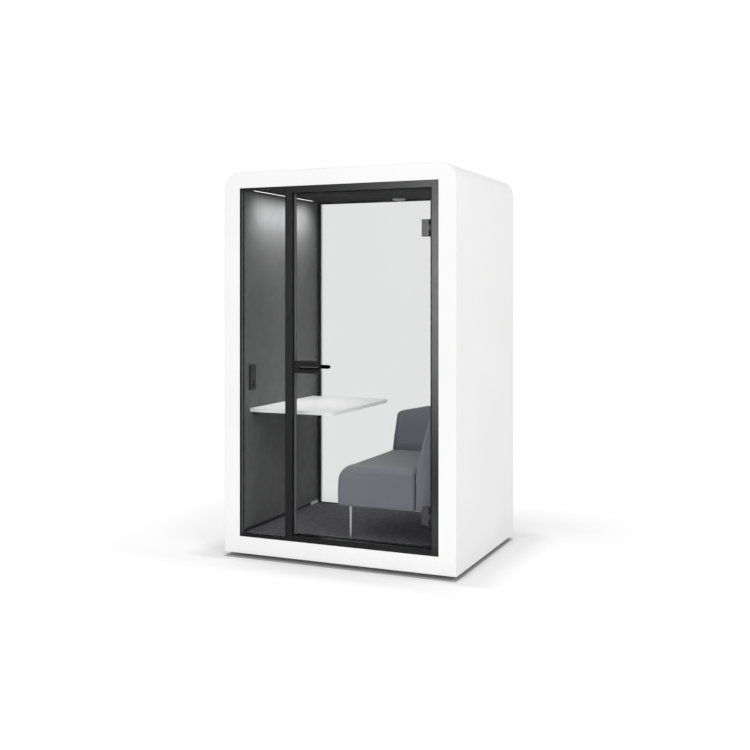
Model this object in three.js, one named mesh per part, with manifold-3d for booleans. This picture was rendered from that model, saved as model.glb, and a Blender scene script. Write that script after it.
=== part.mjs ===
// Two-seat acoustic office pod: white outer shell, felt-lined cabin, glazed front and back, glass door.
// Millimetres, +Z up, +X to the right of the front, +Y from the front to the back.
// The origin is the middle of the footprint, on the floor.

import * as THREE from 'three';
import { mergeVertices } from 'three/addons/utils/BufferGeometryUtils.js';
import Module from 'manifold-3d';

const wasm = await Module();
wasm.setup();

// Overall sizes
const WIDTH = 1470;
const DEPTH = 1118;
const HEIGHT = 2300;
const CORNER_RADIUS = 100;
const FOOT_HEIGHT = 25;

// Clearances
const GAP = 0.3;
const RUNNING_GAP = 1;
const CUT_OVERSHOOT = 2;

// Outer shell and white surrounds
const SKIN = 2;
const SURROUND_DEPTH = 40;
const SIDE_BORDER = 104;
const TOP_BORDER = 96;
const BOTTOM_BORDER = 100;

// Floor
const TRAY_WALL = 60;
const TRAY_SHEET = 6;
const FLOOR_BOARD = 18;
const CARPET = 8;
const FLOOR_RISE = 13;

// Wall and ceiling linings
const FELT = 14;
const LINING_SETBACK = 3;
const CEILING_DROP = 6;
const CEILING_PANEL = 12;
const SKIRTING_HEIGHT = 18;
const SKIRTING_THICK = 6;

// Front frame
const FRAME_DEPTH = 60;
const CHANNEL_FACE = 14;
const CHANNEL_DEPTH = 40;
const SIDELIGHT_WIDTH = 306.6;
const MULLION_FACE = 45;
const JAMB_FACE = 41;
const HEAD_FACE = 40;
const SILL_FACE = 35;
const GLASS = 10;
const GLASS_GROOVE = 8;
const SIDELIGHT_RECESS = 15;

// Door
const DOOR_RECESS = 28;
const DOOR_EDGE_GAP = 4;
const DOOR_TOP_GAP = 4;
const HINGE_AXIS_TO_JAMB = 12;
const HINGE_AXIS_TO_GLASS_FACE = 4;
const HINGE_GLASS_MARGIN = 3;
const HINGE_HEIGHT = 96;
const HINGE_BELOW_HEAD = 224;
const HINGE_ABOVE_SILL = 176;
const KNUCKLE_RADIUS = 9;
const PIN_RADIUS = 4;
const PIN_CLEARANCE = 0.1;
const HINGE_LEAF = 2.4;
const HINGE_LEAF_DEPTH = 22;
const CLAMP_WIDTH = 42;
const CLAMP_THICK = 8;
const CLAMP_WEB = 12;
const SEAL_WIDTH = 8;
const SEAL_WALL = 2;
const STOP_SEAL_THICK = 8;
const STOP_SEAL_COVER = 20;
const SILL_SEAL_COVER = 6;

// Lock, levers and latch
const LOCK_LENGTH = 158;
const LOCK_HEIGHT = 72;
const LEVER_ABOVE_FLOOR = 1007;
const LOCK_PLATE = 14;
const LOCK_WALL = 2.5;
const LOCK_BODY_LENGTH = 110;
const LOCK_BODY_HEIGHT = 44;
const LOCK_BACKSET = 68;
const LEVER_LENGTH = 130;
const LEVER_HEIGHT = 22;
const LEVER_THICK = 12;
const LEVER_STANDOFF = 38;
const NECK_RADIUS = 8;
const SPINDLE_SIDE = 8;
const HUB_RADIUS = 12;
const BOLT_LENGTH = 40;
const BOLT_HEIGHT = 18;
const BOLT_THICK = 8;
const BOLT_THROW = 10;
const STRIKE_THICK = 2;
const STRIKE_SLOT_MARGIN = 3;

// Back glazing
const BACK_RECESS = 50;
const BACK_FRAME_FACE = 14;
const BACK_FRAME_DEPTH = 26;

// Table
const TABLE_WIDTH = 562;
const TABLE_FRONT_SPACE = 65.7;
const TABLE_BACK_SPACE = 69.7;
const TABLE_HEIGHT = 739;
const TABLE_THICK = 22;
const TABLE_CORNER = 30;
const RAIL_HEIGHT = 18;
const RAIL_DEPTH = 30;
const ARM_LENGTH = 440;
const ARM_WIDTH = 40;
const ARM_THICK = 8;
const ARM_INSET = 140;

// Sofa
const SEAT_DEPTH = 484;
const SOFA_FRONT_SPACE = 23.7;
const SOFA_BACK_SPACE = 4.7;
const LEG_HEIGHT = 203;
const SEAT_THICK = 225;
const BACK_DEPTH = 174;
const WING_DEPTH = 140;
const SEAT_CROWN = 14;
const SIDE_CROWN = 5;
const SEAT_EDGE_RADIUS = 22;
const SEAT_FRONT_RADIUS = 58;
const BACK_RISE = 346;
const BACK_TOP_DEPTH = 82;
const SOFA_WALL_SPACE = 6;
const WING_TOP_DEPTH = 50;
const WING_FALL = 97;
const WING_LEFT_LEAN = 11;
const WING_BELOW_BACK = 7;
const PAD_CROWN = 8;
const PAD_RADIUS = 24;
const PAD_GAP = 1;
const PAD_SEGMENTS = 10;
const SOFA_PLATE = 6;
const SOFA_PLATE_INSET = 50;
const LEG_WIDTH = 12;
const LEG_INSET_LEFT = 79;
const LEG_INSET_RIGHT = 50;
const LEG_INSET_Y = 11;

// Power panel
const PANEL_FRONT_SPACE = 53.7;
const PANEL_WIDTH = 67;
const PANEL_ABOVE_FLOOR = 851;
const PANEL_HEIGHT = 151;
const PANEL_THICK = 10;
const PANEL_WINDOW = 45;
const PANEL_WINDOW_MARGIN = 14;
const SWITCH_HEIGHT = 40;
const SOCKET_RECESS_RADIUS = 19;
const SOCKET_RECESS_DEPTH = 6;
const ROCKER_PROUD = 2;
const ROCKER_PIN_RADIUS = 2;

// Lamp and sensor in the ceiling
const LED_FROM_WALL = 34;
const LED_WIDTH = 18;
const LED_HEIGHT = 11;
const LED_WALL = 2;
const LED_FRONT_SPACE = 13.7;
const LED_BACK_SPACE = 137.7;
const DRIVER_LENGTH = 180;
const DRIVER_WIDTH = 50;
const DRIVER_HEIGHT = 30;
const SENSOR_X = 10;
const SENSOR_BACK_SPACE = 92.7;
const SENSOR_RADIUS = 43;
const SENSOR_THICK = 8;
const SENSOR_LENS_RADIUS = 20;
const SENSOR_LENS_DROP = 9;

// Ventilation
const FAN_X = 180;
const FAN_Y = 0;
const FAN_SIZE = 120;
const FAN_THICK = 25;
const FAN_BORE_RADIUS = 57;
const FAN_HUB_RADIUS = 20;
const FAN_BLADE_TIP = 54;
const FAN_BLADE_COUNT = 7;
const FAN_BLADE_PITCH = 0.6;
const FAN_BLADE_THICK = 2;
const FAN_SPIDER = 4;
const FAN_AXLE_RADIUS = 3;
const PLENUM_MARGIN = 30;
const VENT_PLATE = 4;
const VENT_CUT_DEPTH = 12;
const VENT_LIP = 10;
const VENT_SLOTS = 6;
const VENT_SLOT_WIDTH = 9;
const INLET_LENGTH = 104.7;
const INLET_SLOTS = 5;
const INLET_SLOT_WIDTH = 6;

// Mains inlet in the back border
const MAINS_FROM_SIDE = 53;
const MAINS_ABOVE_FOOT = 50;
const MAINS_WIDTH = 48;
const MAINS_HEIGHT = 28;
const MAINS_DEPTH = 30;
const MAINS_MOUTH_WIDTH = 25;
const MAINS_MOUTH_HEIGHT = 17;
const MAINS_MOUTH_DEPTH = 16;
const MAINS_PIN = 3;
const MAINS_PIN_LENGTH = 12;

// Levelling feet
const FOOT_PAD_RADIUS = 28;
const FOOT_PAD_THICK = 10;
const FOOT_STEM_RADIUS = 6;
const FOOT_STEM_LENGTH = 62;
const FOOT_BOSS_RADIUS = 18;
const FOOT_NUT_RADIUS = 12;
const FOOT_INSET = 120;

// Round shapes
const ROUND_SEGMENTS = 24;
const CORNER_SEGMENTS = 10;

// Places worked out from the sizes above
const halfWidth = WIDTH / 2;
const frontY = -DEPTH / 2;
const backY = DEPTH / 2;
const openHalf = halfWidth - SIDE_BORDER;
const openLow = FOOT_HEIGHT + BOTTOM_BORDER;
const openHigh = HEIGHT - TOP_BORDER;
const frameBackY = frontY + FRAME_DEPTH;
const backFrameFar = backY - BACK_RECESS;
const backFrameNear = backFrameFar - BACK_FRAME_DEPTH;
const liningNearY = frameBackY + GAP;
const liningFarY = backFrameNear - GAP;
const feltFace = openHalf + LINING_SETBACK;
const floorLevel = openLow + FLOOR_RISE;
const ceilingLevel = openHigh - CEILING_DROP;
const mullionLeft = SIDELIGHT_WIDTH - openHalf;
const mullionRight = mullionLeft + MULLION_FACE;
const jambLeft = openHalf - JAMB_FACE;
const headLow = openHigh - HEAD_FACE;
const sillHigh = openLow + SILL_FACE;
const doorFrontY = frontY + DOOR_RECESS;
const doorBackY = doorFrontY + GLASS;
const hingeX = jambLeft - HINGE_AXIS_TO_JAMB;
const hingeY = doorFrontY - HINGE_AXIS_TO_GLASS_FACE;
const hingeUpperZ = headLow - HINGE_BELOW_HEAD;
const hingeLowerZ = sillHigh + HINGE_ABOVE_SILL;
const doorLeft = mullionRight + DOOR_EDGE_GAP;
const doorRight = hingeX - HINGE_GLASS_MARGIN;
const doorLow = sillHigh + DOOR_TOP_GAP;
const doorHigh = headLow - DOOR_TOP_GAP;
const lockZ = floorLevel + LEVER_ABOVE_FLOOR;
const leverX = doorLeft + LOCK_BACKSET;
const lockFrontY = doorFrontY - LOCK_PLATE;
const lockBackY = doorBackY + LOCK_PLATE;
const leverFrontY = lockFrontY - LEVER_STANDOFF - LEVER_THICK;
const leverProud = frontY - leverFrontY;
const tableTop = floorLevel + TABLE_HEIGHT;
const tableFront = liningNearY + TABLE_FRONT_SPACE;
const tableBack = liningFarY - TABLE_BACK_SPACE;
const sofaNear = liningNearY + SOFA_FRONT_SPACE;
const sofaFar = liningFarY - SOFA_BACK_SPACE;
const backRestX = feltFace - SOFA_WALL_SPACE;
const seatBackX = backRestX - BACK_DEPTH;
const sofaLeft = seatBackX - SEAT_DEPTH;
const sofaUnderside = floorLevel + LEG_HEIGHT;
const seatTop = sofaUnderside + SEAT_THICK;
const seatFarY = sofaFar - WING_DEPTH;
const backTop = seatTop + BACK_RISE;
const backTopFrontX = backRestX - BACK_TOP_DEPTH;
const wingTopFrontY = sofaFar - WING_TOP_DEPTH;
const wingTopRightZ = backTop - WING_BELOW_BACK;
const wingTopLeftZ = wingTopRightZ - WING_FALL;
const wingTopLeftX = sofaLeft + WING_LEFT_LEAN;
const panelNearY = liningNearY + PANEL_FRONT_SPACE;
const panelLowZ = floorLevel + PANEL_ABOVE_FLOOR;
const ledX = LED_FROM_WALL - feltFace;
const ledNearY = liningNearY + LED_FRONT_SPACE;
const ledFarY = liningFarY - LED_BACK_SPACE;
const sensorY = liningFarY - SENSOR_BACK_SPACE;
const inletNearY = liningFarY - INLET_LENGTH;
const mainsX = halfWidth - MAINS_FROM_SIDE;
const mainsZ = FOOT_HEIGHT + MAINS_ABOVE_FOOT;

const colours = {
  white: { color: 0xf2f2f0, roughness: 0.45, metalness: 0 },
  anthracite: { color: 0x2b2c2d, roughness: 0.5, metalness: 0.3 },
  hardware: { color: 0x1b1b1c, roughness: 0.4, metalness: 0.5 },
  steel: { color: 0x9a9c9e, roughness: 0.4, metalness: 0.9 },
  felt: { color: 0x55565a, roughness: 0.95, metalness: 0 },
  ceiling: { color: 0x3a3a3c, roughness: 0.95, metalness: 0 },
  carpet: { color: 0x3d3d40, roughness: 1, metalness: 0 },
  upholstery: { color: 0x6b6f76, roughness: 0.95, metalness: 0 },
  laminate: { color: 0xf0f0ee, roughness: 0.4, metalness: 0 },
  plywood: { color: 0xc2a37c, roughness: 0.7, metalness: 0 },
  wool: { color: 0xb8b29a, roughness: 1, metalness: 0 },
  glass: { color: 0xdfe8e6, roughness: 0.05, metalness: 0, transparent: true, opacity: 0.3 },
  rubber: { color: 0x1a1a1a, roughness: 0.8, metalness: 0 },
  clearSeal: { color: 0xb9bcbc, roughness: 0.4, metalness: 0 },
  plastic: { color: 0x222224, roughness: 0.5, metalness: 0 },
  diffuser: { color: 0xfbfbf6, roughness: 0.3, metalness: 0 },
};

const pod = new THREE.Group();
pod.position.y = leverProud / 2;

// Adds one named piece to the pod.
function addPiece(name, geometry, finish) {
  const mesh = new THREE.Mesh(geometry, new THREE.MeshStandardMaterial(colours[finish]));
  mesh.name = name;
  pod.add(mesh);
  return mesh;
}

// A box between two corners.
function box(x0, x1, y0, y1, z0, z1) {
  const geometry = new THREE.BoxGeometry(x1 - x0, y1 - y0, z1 - z0);
  geometry.translate((x0 + x1) / 2, (y0 + y1) / 2, (z0 + z1) / 2);
  return geometry;
}

// A round bar along one axis, from one end to the other.
function bar(axis, radius, centre, from, to) {
  const geometry = new THREE.CylinderGeometry(radius, radius, to - from, ROUND_SEGMENTS);
  const middle = (from + to) / 2;
  if (axis === 'x') {
    geometry.rotateZ(-Math.PI / 2);
    geometry.translate(middle, centre[0], centre[1]);
  }
  if (axis === 'y') {
    geometry.translate(centre[0], middle, centre[1]);
  }
  if (axis === 'z') {
    geometry.rotateX(Math.PI / 2);
    geometry.translate(centre[0], centre[1], middle);
  }
  return geometry;
}

// An outline drawn in X and Z, pushed along Y from y0 to y1.
function alongY(shape, y0, y1) {
  const geometry = new THREE.ExtrudeGeometry(shape, {
    depth: y1 - y0, bevelEnabled: false, curveSegments: CORNER_SEGMENTS,
  });
  geometry.rotateX(Math.PI / 2);
  geometry.translate(0, y1, 0);
  return geometry;
}

// An outline drawn in X and Y, pushed up Z from z0 to z1.
function alongZ(shape, z0, z1) {
  const geometry = new THREE.ExtrudeGeometry(shape, {
    depth: z1 - z0, bevelEnabled: false, curveSegments: CORNER_SEGMENTS,
  });
  geometry.translate(0, 0, z0);
  return geometry;
}

// A closed solid with shared corners, ready to be joined or cut.
function solid(geometry) {
  const bare = geometry.clone();
  bare.deleteAttribute('normal');
  bare.deleteAttribute('uv');
  const merged = mergeVertices(bare, 1e-4);
  return new wasm.Manifold(new wasm.Mesh({
    numProp: 3,
    vertProperties: new Float32Array(merged.attributes.position.array),
    triVerts: new Uint32Array(merged.index.array),
  }));
}

// The first geometry with others joined to it and cut from it.
function shaped(base, joins, cuts) {
  let result = solid(base);
  for (const join of joins) {
    result = result.add(solid(join));
  }
  for (const cut of cuts) {
    result = result.subtract(solid(cut));
  }
  const mesh = result.getMesh();
  const geometry = new THREE.BufferGeometry();
  const positions = new Float32Array(mesh.numVert * 3);
  for (let i = 0; i < mesh.numVert; i += 1) {
    positions.set(mesh.vertProperties.slice(i * mesh.numProp, i * mesh.numProp + 3), i * 3);
  }
  geometry.setAttribute('position', new THREE.BufferAttribute(positions, 3));
  geometry.setIndex(new THREE.BufferAttribute(new Uint32Array(mesh.triVerts), 1));
  geometry.computeVertexNormals();
  return geometry;
}

// The pod's front outline: square at the foot, round at the top corners, drawn in by an inset.
function podOutline(inset) {
  const half = halfWidth - inset;
  const top = HEIGHT - inset;
  const radius = CORNER_RADIUS - inset;
  const shape = new THREE.Shape();
  shape.moveTo(-half, FOOT_HEIGHT);
  shape.lineTo(half, FOOT_HEIGHT);
  shape.lineTo(half, top - radius);
  shape.absarc(half - radius, top - radius, radius, 0, Math.PI / 2, false);
  shape.lineTo(-half + radius, top);
  shape.absarc(-half + radius, top - radius, radius, Math.PI / 2, Math.PI, false);
  shape.lineTo(-half, FOOT_HEIGHT);
  return shape;
}

// A rectangle with four round corners, drawn in the first two axes.
function rectangle(x0, x1, y0, y1, radius) {
  const shape = new THREE.Shape();
  shape.moveTo(x0 + radius, y0);
  shape.lineTo(x1 - radius, y0);
  shape.absarc(x1 - radius, y0 + radius, radius, -Math.PI / 2, 0, false);
  shape.lineTo(x1, y1 - radius);
  shape.absarc(x1 - radius, y1 - radius, radius, 0, Math.PI / 2, false);
  shape.lineTo(x0 + radius, y1);
  shape.absarc(x0 + radius, y1 - radius, radius, Math.PI / 2, Math.PI, false);
  shape.lineTo(x0, y0 + radius);
  shape.absarc(x0 + radius, y0 + radius, radius, Math.PI, Math.PI * 1.5, false);
  return shape;
}

// The outer shell: one bent sheet over both sides and the roof, with the roof vent cut in it.
const ventHalf = FAN_SIZE / 2 + PLENUM_MARGIN / 2;
function buildOuterShell() {
  const outer = alongY(podOutline(0), frontY, backY);
  const inner = alongY(podOutline(SKIN), frontY - CUT_OVERSHOOT, backY + CUT_OVERSHOOT);
  const foot = box(
    -halfWidth + SKIN, halfWidth - SKIN, frontY - CUT_OVERSHOOT, backY + CUT_OVERSHOOT,
    FOOT_HEIGHT - CUT_OVERSHOOT, FOOT_HEIGHT + CUT_OVERSHOOT,
  );
  const vent = box(
    FAN_X - ventHalf, FAN_X + ventHalf, FAN_Y - ventHalf, FAN_Y + ventHalf,
    HEIGHT - SKIN - CUT_OVERSHOOT, HEIGHT + CUT_OVERSHOOT,
  );
  addPiece('outer_shell', shaped(outer, [], [inner, foot, vent]), 'white');
}

// The white surrounds close the two ends of the shell round the glazing.
function surround(y0, y1, cuts) {
  const ring = alongY(podOutline(SKIN + GAP), y0, y1);
  const opening = box(
    -openHalf, openHalf, y0 - CUT_OVERSHOOT, y1 + CUT_OVERSHOOT, openLow, openHigh,
  );
  return shaped(ring, [], [opening, ...cuts]);
}

function buildSurrounds() {
  addPiece('front_surround', surround(frontY, frontY + SURROUND_DEPTH, []), 'white');
  const mainsHole = box(
    mainsX - MAINS_WIDTH / 2 - GAP, mainsX + MAINS_WIDTH / 2 + GAP,
    backY - SURROUND_DEPTH - CUT_OVERSHOOT, backY + CUT_OVERSHOOT,
    mainsZ - MAINS_HEIGHT / 2 - GAP, mainsZ + MAINS_HEIGHT / 2 + GAP,
  );
  addPiece('back_surround', surround(backY - SURROUND_DEPTH, backY, [mainsHole]), 'white');
}

// The base tray carries the floor, and the feet screw into its corners.
const coreHalf = halfWidth - SKIN - GAP;
const coreNearY = frontY + SURROUND_DEPTH + GAP;
const coreFarY = backY - SURROUND_DEPTH - GAP;
const boardLow = floorLevel - CARPET - GAP - FLOOR_BOARD;
const trayTop = boardLow - GAP;
const footPlaces = [
  ['front_left', -1, -1], ['front_right', 1, -1], ['back_left', -1, 1], ['back_right', 1, 1],
].map(([name, sx, sy]) => ({
  name,
  x: sx * (halfWidth - FOOT_INSET),
  y: sy * (backY - FOOT_INSET),
}));

function buildBase() {
  const block = box(-coreHalf, coreHalf, coreNearY, coreFarY, FOOT_HEIGHT, trayTop);
  const well = box(
    -coreHalf + TRAY_WALL, coreHalf - TRAY_WALL, coreNearY + TRAY_WALL, coreFarY - TRAY_WALL,
    FOOT_HEIGHT + TRAY_SHEET, trayTop + CUT_OVERSHOOT,
  );
  const bosses = footPlaces.map((p) => bar(
    'z', FOOT_BOSS_RADIUS, [p.x, p.y], FOOT_HEIGHT + TRAY_SHEET / 2, trayTop,
  ));
  const sockets = footPlaces.map((p) => bar(
    'z', FOOT_STEM_RADIUS + GAP, [p.x, p.y], FOOT_HEIGHT - CUT_OVERSHOOT, trayTop + CUT_OVERSHOOT,
  ));
  const hollow = shaped(block, [], [well]);
  addPiece('base_tray', shaped(hollow, bosses, sockets), 'steel');
  const feltHalf = feltFace - SKIRTING_THICK - GAP;
  addPiece('floor_board', box(
    -feltFace, feltFace, liningNearY, liningFarY, boardLow, boardLow + FLOOR_BOARD,
  ), 'plywood');
  addPiece('carpet', box(
    -feltHalf, feltHalf, liningNearY, liningFarY, floorLevel - CARPET, floorLevel,
  ), 'carpet');
}

function buildFeet() {
  for (const place of footPlaces) {
    const pad = bar('z', FOOT_PAD_RADIUS, [place.x, place.y], 0, FOOT_PAD_THICK);
    const stem = bar(
      'z', FOOT_STEM_RADIUS, [place.x, place.y], FOOT_PAD_THICK / 2, FOOT_PAD_THICK + FOOT_STEM_LENGTH,
    );
    const nut = bar('z', FOOT_NUT_RADIUS, [place.x, place.y], FOOT_PAD_THICK / 2, FOOT_HEIGHT - GAP);
    addPiece(`foot_${place.name}`, shaped(pad, [stem, nut], []), 'rubber');
  }
}

// Sound-absorbing cores behind the felt linings.
const ceilingTop = ceilingLevel + CEILING_PANEL;
const wallCoreTop = Math.min(ceilingLevel, HEIGHT - CORNER_RADIUS);
function buildWalls() {
  for (const [side, sign] of [['left', -1], ['right', 1]]) {
    const inner = sign * (feltFace + FELT + GAP);
    const outer = sign * coreHalf;
    addPiece(`${side}_wall_core`, box(
      Math.min(inner, outer), Math.max(inner, outer), coreNearY, coreFarY, boardLow, wallCoreTop,
    ), 'wool');
    const face = sign * (feltFace + GAP);
    const rear = sign * (feltFace + FELT);
    const felt = box(
      Math.min(face, rear), Math.max(face, rear), liningNearY, liningFarY, boardLow, ceilingLevel - GAP,
    );
    addPiece(`${side}_felt_panel`, felt, 'felt');
    const skirtRear = sign * feltFace;
    const skirtFace = sign * (feltFace - SKIRTING_THICK);
    const skirtFar = sign < 0 ? inletNearY - GAP : liningFarY;
    addPiece(`${side}_skirting`, box(
      Math.min(skirtRear, skirtFace), Math.max(skirtRear, skirtFace), liningNearY, skirtFar,
      floorLevel - CARPET, floorLevel + SKIRTING_HEIGHT,
    ), 'anthracite');
  }
}

// The low air inlet stands in line with the left skirting.
function buildAirInlet() {
  const plate = box(
    -feltFace, -feltFace + SKIRTING_THICK, inletNearY, liningFarY,
    floorLevel - CARPET, floorLevel + SKIRTING_HEIGHT,
  );
  const length = liningFarY - inletNearY;
  const slots = [];
  for (let i = 0; i < INLET_SLOTS; i += 1) {
    const middle = inletNearY + (length * (i + 0.5)) / INLET_SLOTS;
    slots.push(box(
      -feltFace - CUT_OVERSHOOT, -feltFace + SKIRTING_THICK + CUT_OVERSHOOT,
      middle - INLET_SLOT_WIDTH / 2, middle + INLET_SLOT_WIDTH / 2,
      floorLevel + CUT_OVERSHOOT, floorLevel + SKIRTING_HEIGHT - CUT_OVERSHOOT,
    ));
  }
  addPiece('air_inlet_grille', shaped(plate, [], slots), 'white');
}

// Roof core, ceiling panel, fan and roof vent.
const ledSlotHalf = LED_WIDTH / 2 + GAP;
const plenumHalf = FAN_SIZE / 2 + PLENUM_MARGIN;
function buildRoof() {
  const core = alongY(podOutline(SKIN + GAP), coreNearY, coreFarY);
  const overWalls = box(
    -WIDTH, WIDTH, coreNearY - CUT_OVERSHOOT, coreFarY + CUT_OVERSHOOT, 0, wallCoreTop + GAP,
  );
  const overCeiling = box(
    -feltFace - FELT - GAP, feltFace + FELT + GAP, coreNearY - CUT_OVERSHOOT, coreFarY + CUT_OVERSHOOT,
    0, Math.max(ceilingTop, openHigh) + GAP,
  );
  const plenum = box(
    FAN_X - plenumHalf, FAN_X + plenumHalf, FAN_Y - plenumHalf, FAN_Y + plenumHalf,
    ceilingTop, HEIGHT,
  );
  const driverSpace = box(
    ledX - RUNNING_GAP, ledX + DRIVER_WIDTH + RUNNING_GAP,
    -DRIVER_LENGTH / 2 - RUNNING_GAP, DRIVER_LENGTH / 2 + RUNNING_GAP,
    ceilingTop - CUT_OVERSHOOT, ceilingTop + DRIVER_HEIGHT + 2 * RUNNING_GAP,
  );
  addPiece('roof_core', shaped(core, [], [overWalls, overCeiling, plenum, driverSpace]), 'wool');
  const panel = box(
    -feltFace - FELT, feltFace + FELT, liningNearY, liningFarY, ceilingLevel, ceilingTop,
  );
  const cuts = [];
  cuts.push(box(
    ledX - ledSlotHalf, ledX + ledSlotHalf, ledNearY - GAP, ledFarY + GAP,
    ceilingLevel - CUT_OVERSHOOT, ceilingLevel + LED_HEIGHT + GAP,
  ));
  for (const y of ventSlotPlaces(FAN_BLADE_TIP)) {
    cuts.push(box(
      FAN_X - FAN_BLADE_TIP, FAN_X + FAN_BLADE_TIP, y - VENT_SLOT_WIDTH / 2, y + VENT_SLOT_WIDTH / 2,
      ceilingLevel - CUT_OVERSHOOT, ceilingTop + CUT_OVERSHOOT,
    ));
  }
  addPiece('ceiling_panel', shaped(panel, [], cuts), 'ceiling');
  addPiece('led_driver', box(
    ledX, ledX + DRIVER_WIDTH, -DRIVER_LENGTH / 2, DRIVER_LENGTH / 2,
    ceilingTop + GAP, ceilingTop + GAP + DRIVER_HEIGHT,
  ), 'plastic');
}

function ventSlotPlaces(half) {
  const places = [];
  for (let i = 0; i < VENT_SLOTS; i += 1) {
    places.push(FAN_Y - half + (2 * half * (i + 0.5)) / VENT_SLOTS);
  }
  return places;
}

function buildRoofVent() {
  const plateHalf = ventHalf - GAP;
  const plate = box(
    FAN_X - plateHalf, FAN_X + plateHalf, FAN_Y - plateHalf, FAN_Y + plateHalf,
    HEIGHT - VENT_PLATE, HEIGHT,
  );
  const lip = box(
    FAN_X - plateHalf - VENT_LIP, FAN_X + plateHalf + VENT_LIP,
    FAN_Y - plateHalf - VENT_LIP, FAN_Y + plateHalf + VENT_LIP,
    HEIGHT - SKIN - GAP - VENT_PLATE, HEIGHT - SKIN - GAP,
  );
  const slots = ventSlotPlaces(FAN_SIZE / 2).map((y) => box(
    FAN_X - FAN_SIZE / 2, FAN_X + FAN_SIZE / 2, y - VENT_SLOT_WIDTH / 2, y + VENT_SLOT_WIDTH / 2,
    HEIGHT - VENT_CUT_DEPTH, HEIGHT + CUT_OVERSHOOT,
  ));
  addPiece('roof_vent_grille', shaped(plate, [lip], slots), 'white');
}

// One axial fan on the ceiling panel: a square frame, a spider with an axle, and a bladed rotor.
function buildFan() {
  const low = ceilingTop + GAP;
  const high = low + FAN_THICK;
  const centre = [FAN_X, FAN_Y];
  const half = FAN_SIZE / 2;
  const frame = box(FAN_X - half, FAN_X + half, FAN_Y - half, FAN_Y + half, low, high);
  const bore = bar('z', FAN_BORE_RADIUS, centre, low - CUT_OVERSHOOT, high + CUT_OVERSHOOT);
  const spiderTop = low + FAN_SPIDER;
  const arms = [
    box(FAN_X - half, FAN_X + half, FAN_Y - FAN_SPIDER, FAN_Y + FAN_SPIDER, low, spiderTop),
    box(FAN_X - FAN_SPIDER, FAN_X + FAN_SPIDER, FAN_Y - half, FAN_Y + half, low, spiderTop),
    bar('z', FAN_AXLE_RADIUS, centre, low, high - FAN_SPIDER),
  ];
  addPiece('fan_frame', shaped(shaped(frame, [], [bore]), arms, []), 'plastic');
  const hubLow = spiderTop + GAP;
  const hub = bar('z', FAN_HUB_RADIUS, centre, hubLow, high - RUNNING_GAP);
  const axleHole = bar(
    'z', FAN_AXLE_RADIUS + PIN_CLEARANCE, centre, hubLow - CUT_OVERSHOOT, high - FAN_SPIDER + GAP,
  );
  const bladeMiddle = (hubLow + high - RUNNING_GAP) / 2;
  const bladeSpan = FAN_BLADE_TIP - FAN_HUB_RADIUS / 2;
  const bladeChord = (high - RUNNING_GAP - hubLow - 2 * FAN_BLADE_THICK) / Math.sin(FAN_BLADE_PITCH);
  const blades = [];
  for (let i = 0; i < FAN_BLADE_COUNT; i += 1) {
    const blade = new THREE.BoxGeometry(bladeSpan, Math.min(bladeChord, FAN_HUB_RADIUS), FAN_BLADE_THICK);
    blade.rotateX(FAN_BLADE_PITCH);
    blade.translate(FAN_BLADE_TIP - bladeSpan / 2, 0, 0);
    blade.rotateZ((i * 2 * Math.PI) / FAN_BLADE_COUNT);
    blade.translate(FAN_X, FAN_Y, bladeMiddle);
    blades.push(blade);
  }
  addPiece('fan_impeller', shaped(hub, blades, [axleHole]), 'plastic');
}

// The ceiling lamp: an aluminium channel with a diffuser, and the presence sensor.
function buildLamp() {
  const channel = box(
    ledX - LED_WIDTH / 2, ledX + LED_WIDTH / 2, ledNearY, ledFarY,
    ceilingLevel, ceilingLevel + LED_HEIGHT,
  );
  const trough = box(
    ledX - LED_WIDTH / 2 + LED_WALL, ledX + LED_WIDTH / 2 - LED_WALL,
    ledNearY + LED_WALL, ledFarY - LED_WALL,
    ceilingLevel - CUT_OVERSHOOT, ceilingLevel + LED_HEIGHT - LED_WALL,
  );
  addPiece('led_profile', shaped(channel, [], [trough]), 'steel');
  addPiece('led_diffuser', box(
    ledX - LED_WIDTH / 2 + LED_WALL + GAP, ledX + LED_WIDTH / 2 - LED_WALL - GAP,
    ledNearY + LED_WALL + GAP, ledFarY - LED_WALL - GAP,
    ceilingLevel + GAP, ceilingLevel + LED_HEIGHT / 2,
  ), 'diffuser');
  const centre = [SENSOR_X, sensorY];
  const disc = bar('z', SENSOR_RADIUS, centre, ceilingLevel - GAP - SENSOR_THICK, ceilingLevel - GAP);
  const profile = [];
  for (let i = 0; i <= CORNER_SEGMENTS / 2; i += 1) {
    const angle = (Math.PI / 2) * (1 - (2 * i) / CORNER_SEGMENTS);
    profile.push(new THREE.Vector2(
      SENSOR_LENS_RADIUS * Math.cos(angle), -SENSOR_LENS_DROP * Math.sin(angle),
    ));
  }
  profile.push(new THREE.Vector2(SENSOR_LENS_RADIUS, SENSOR_LENS_DROP / 2));
  profile.push(new THREE.Vector2(0, SENSOR_LENS_DROP / 2));
  const dome = new THREE.LatheGeometry(profile, ROUND_SEGMENTS);
  dome.rotateX(Math.PI / 2);
  dome.translate(SENSOR_X, sensorY, ceilingLevel - GAP - SENSOR_THICK);
  addPiece('presence_sensor', shaped(disc, [dome], []), 'white');
}

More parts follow.
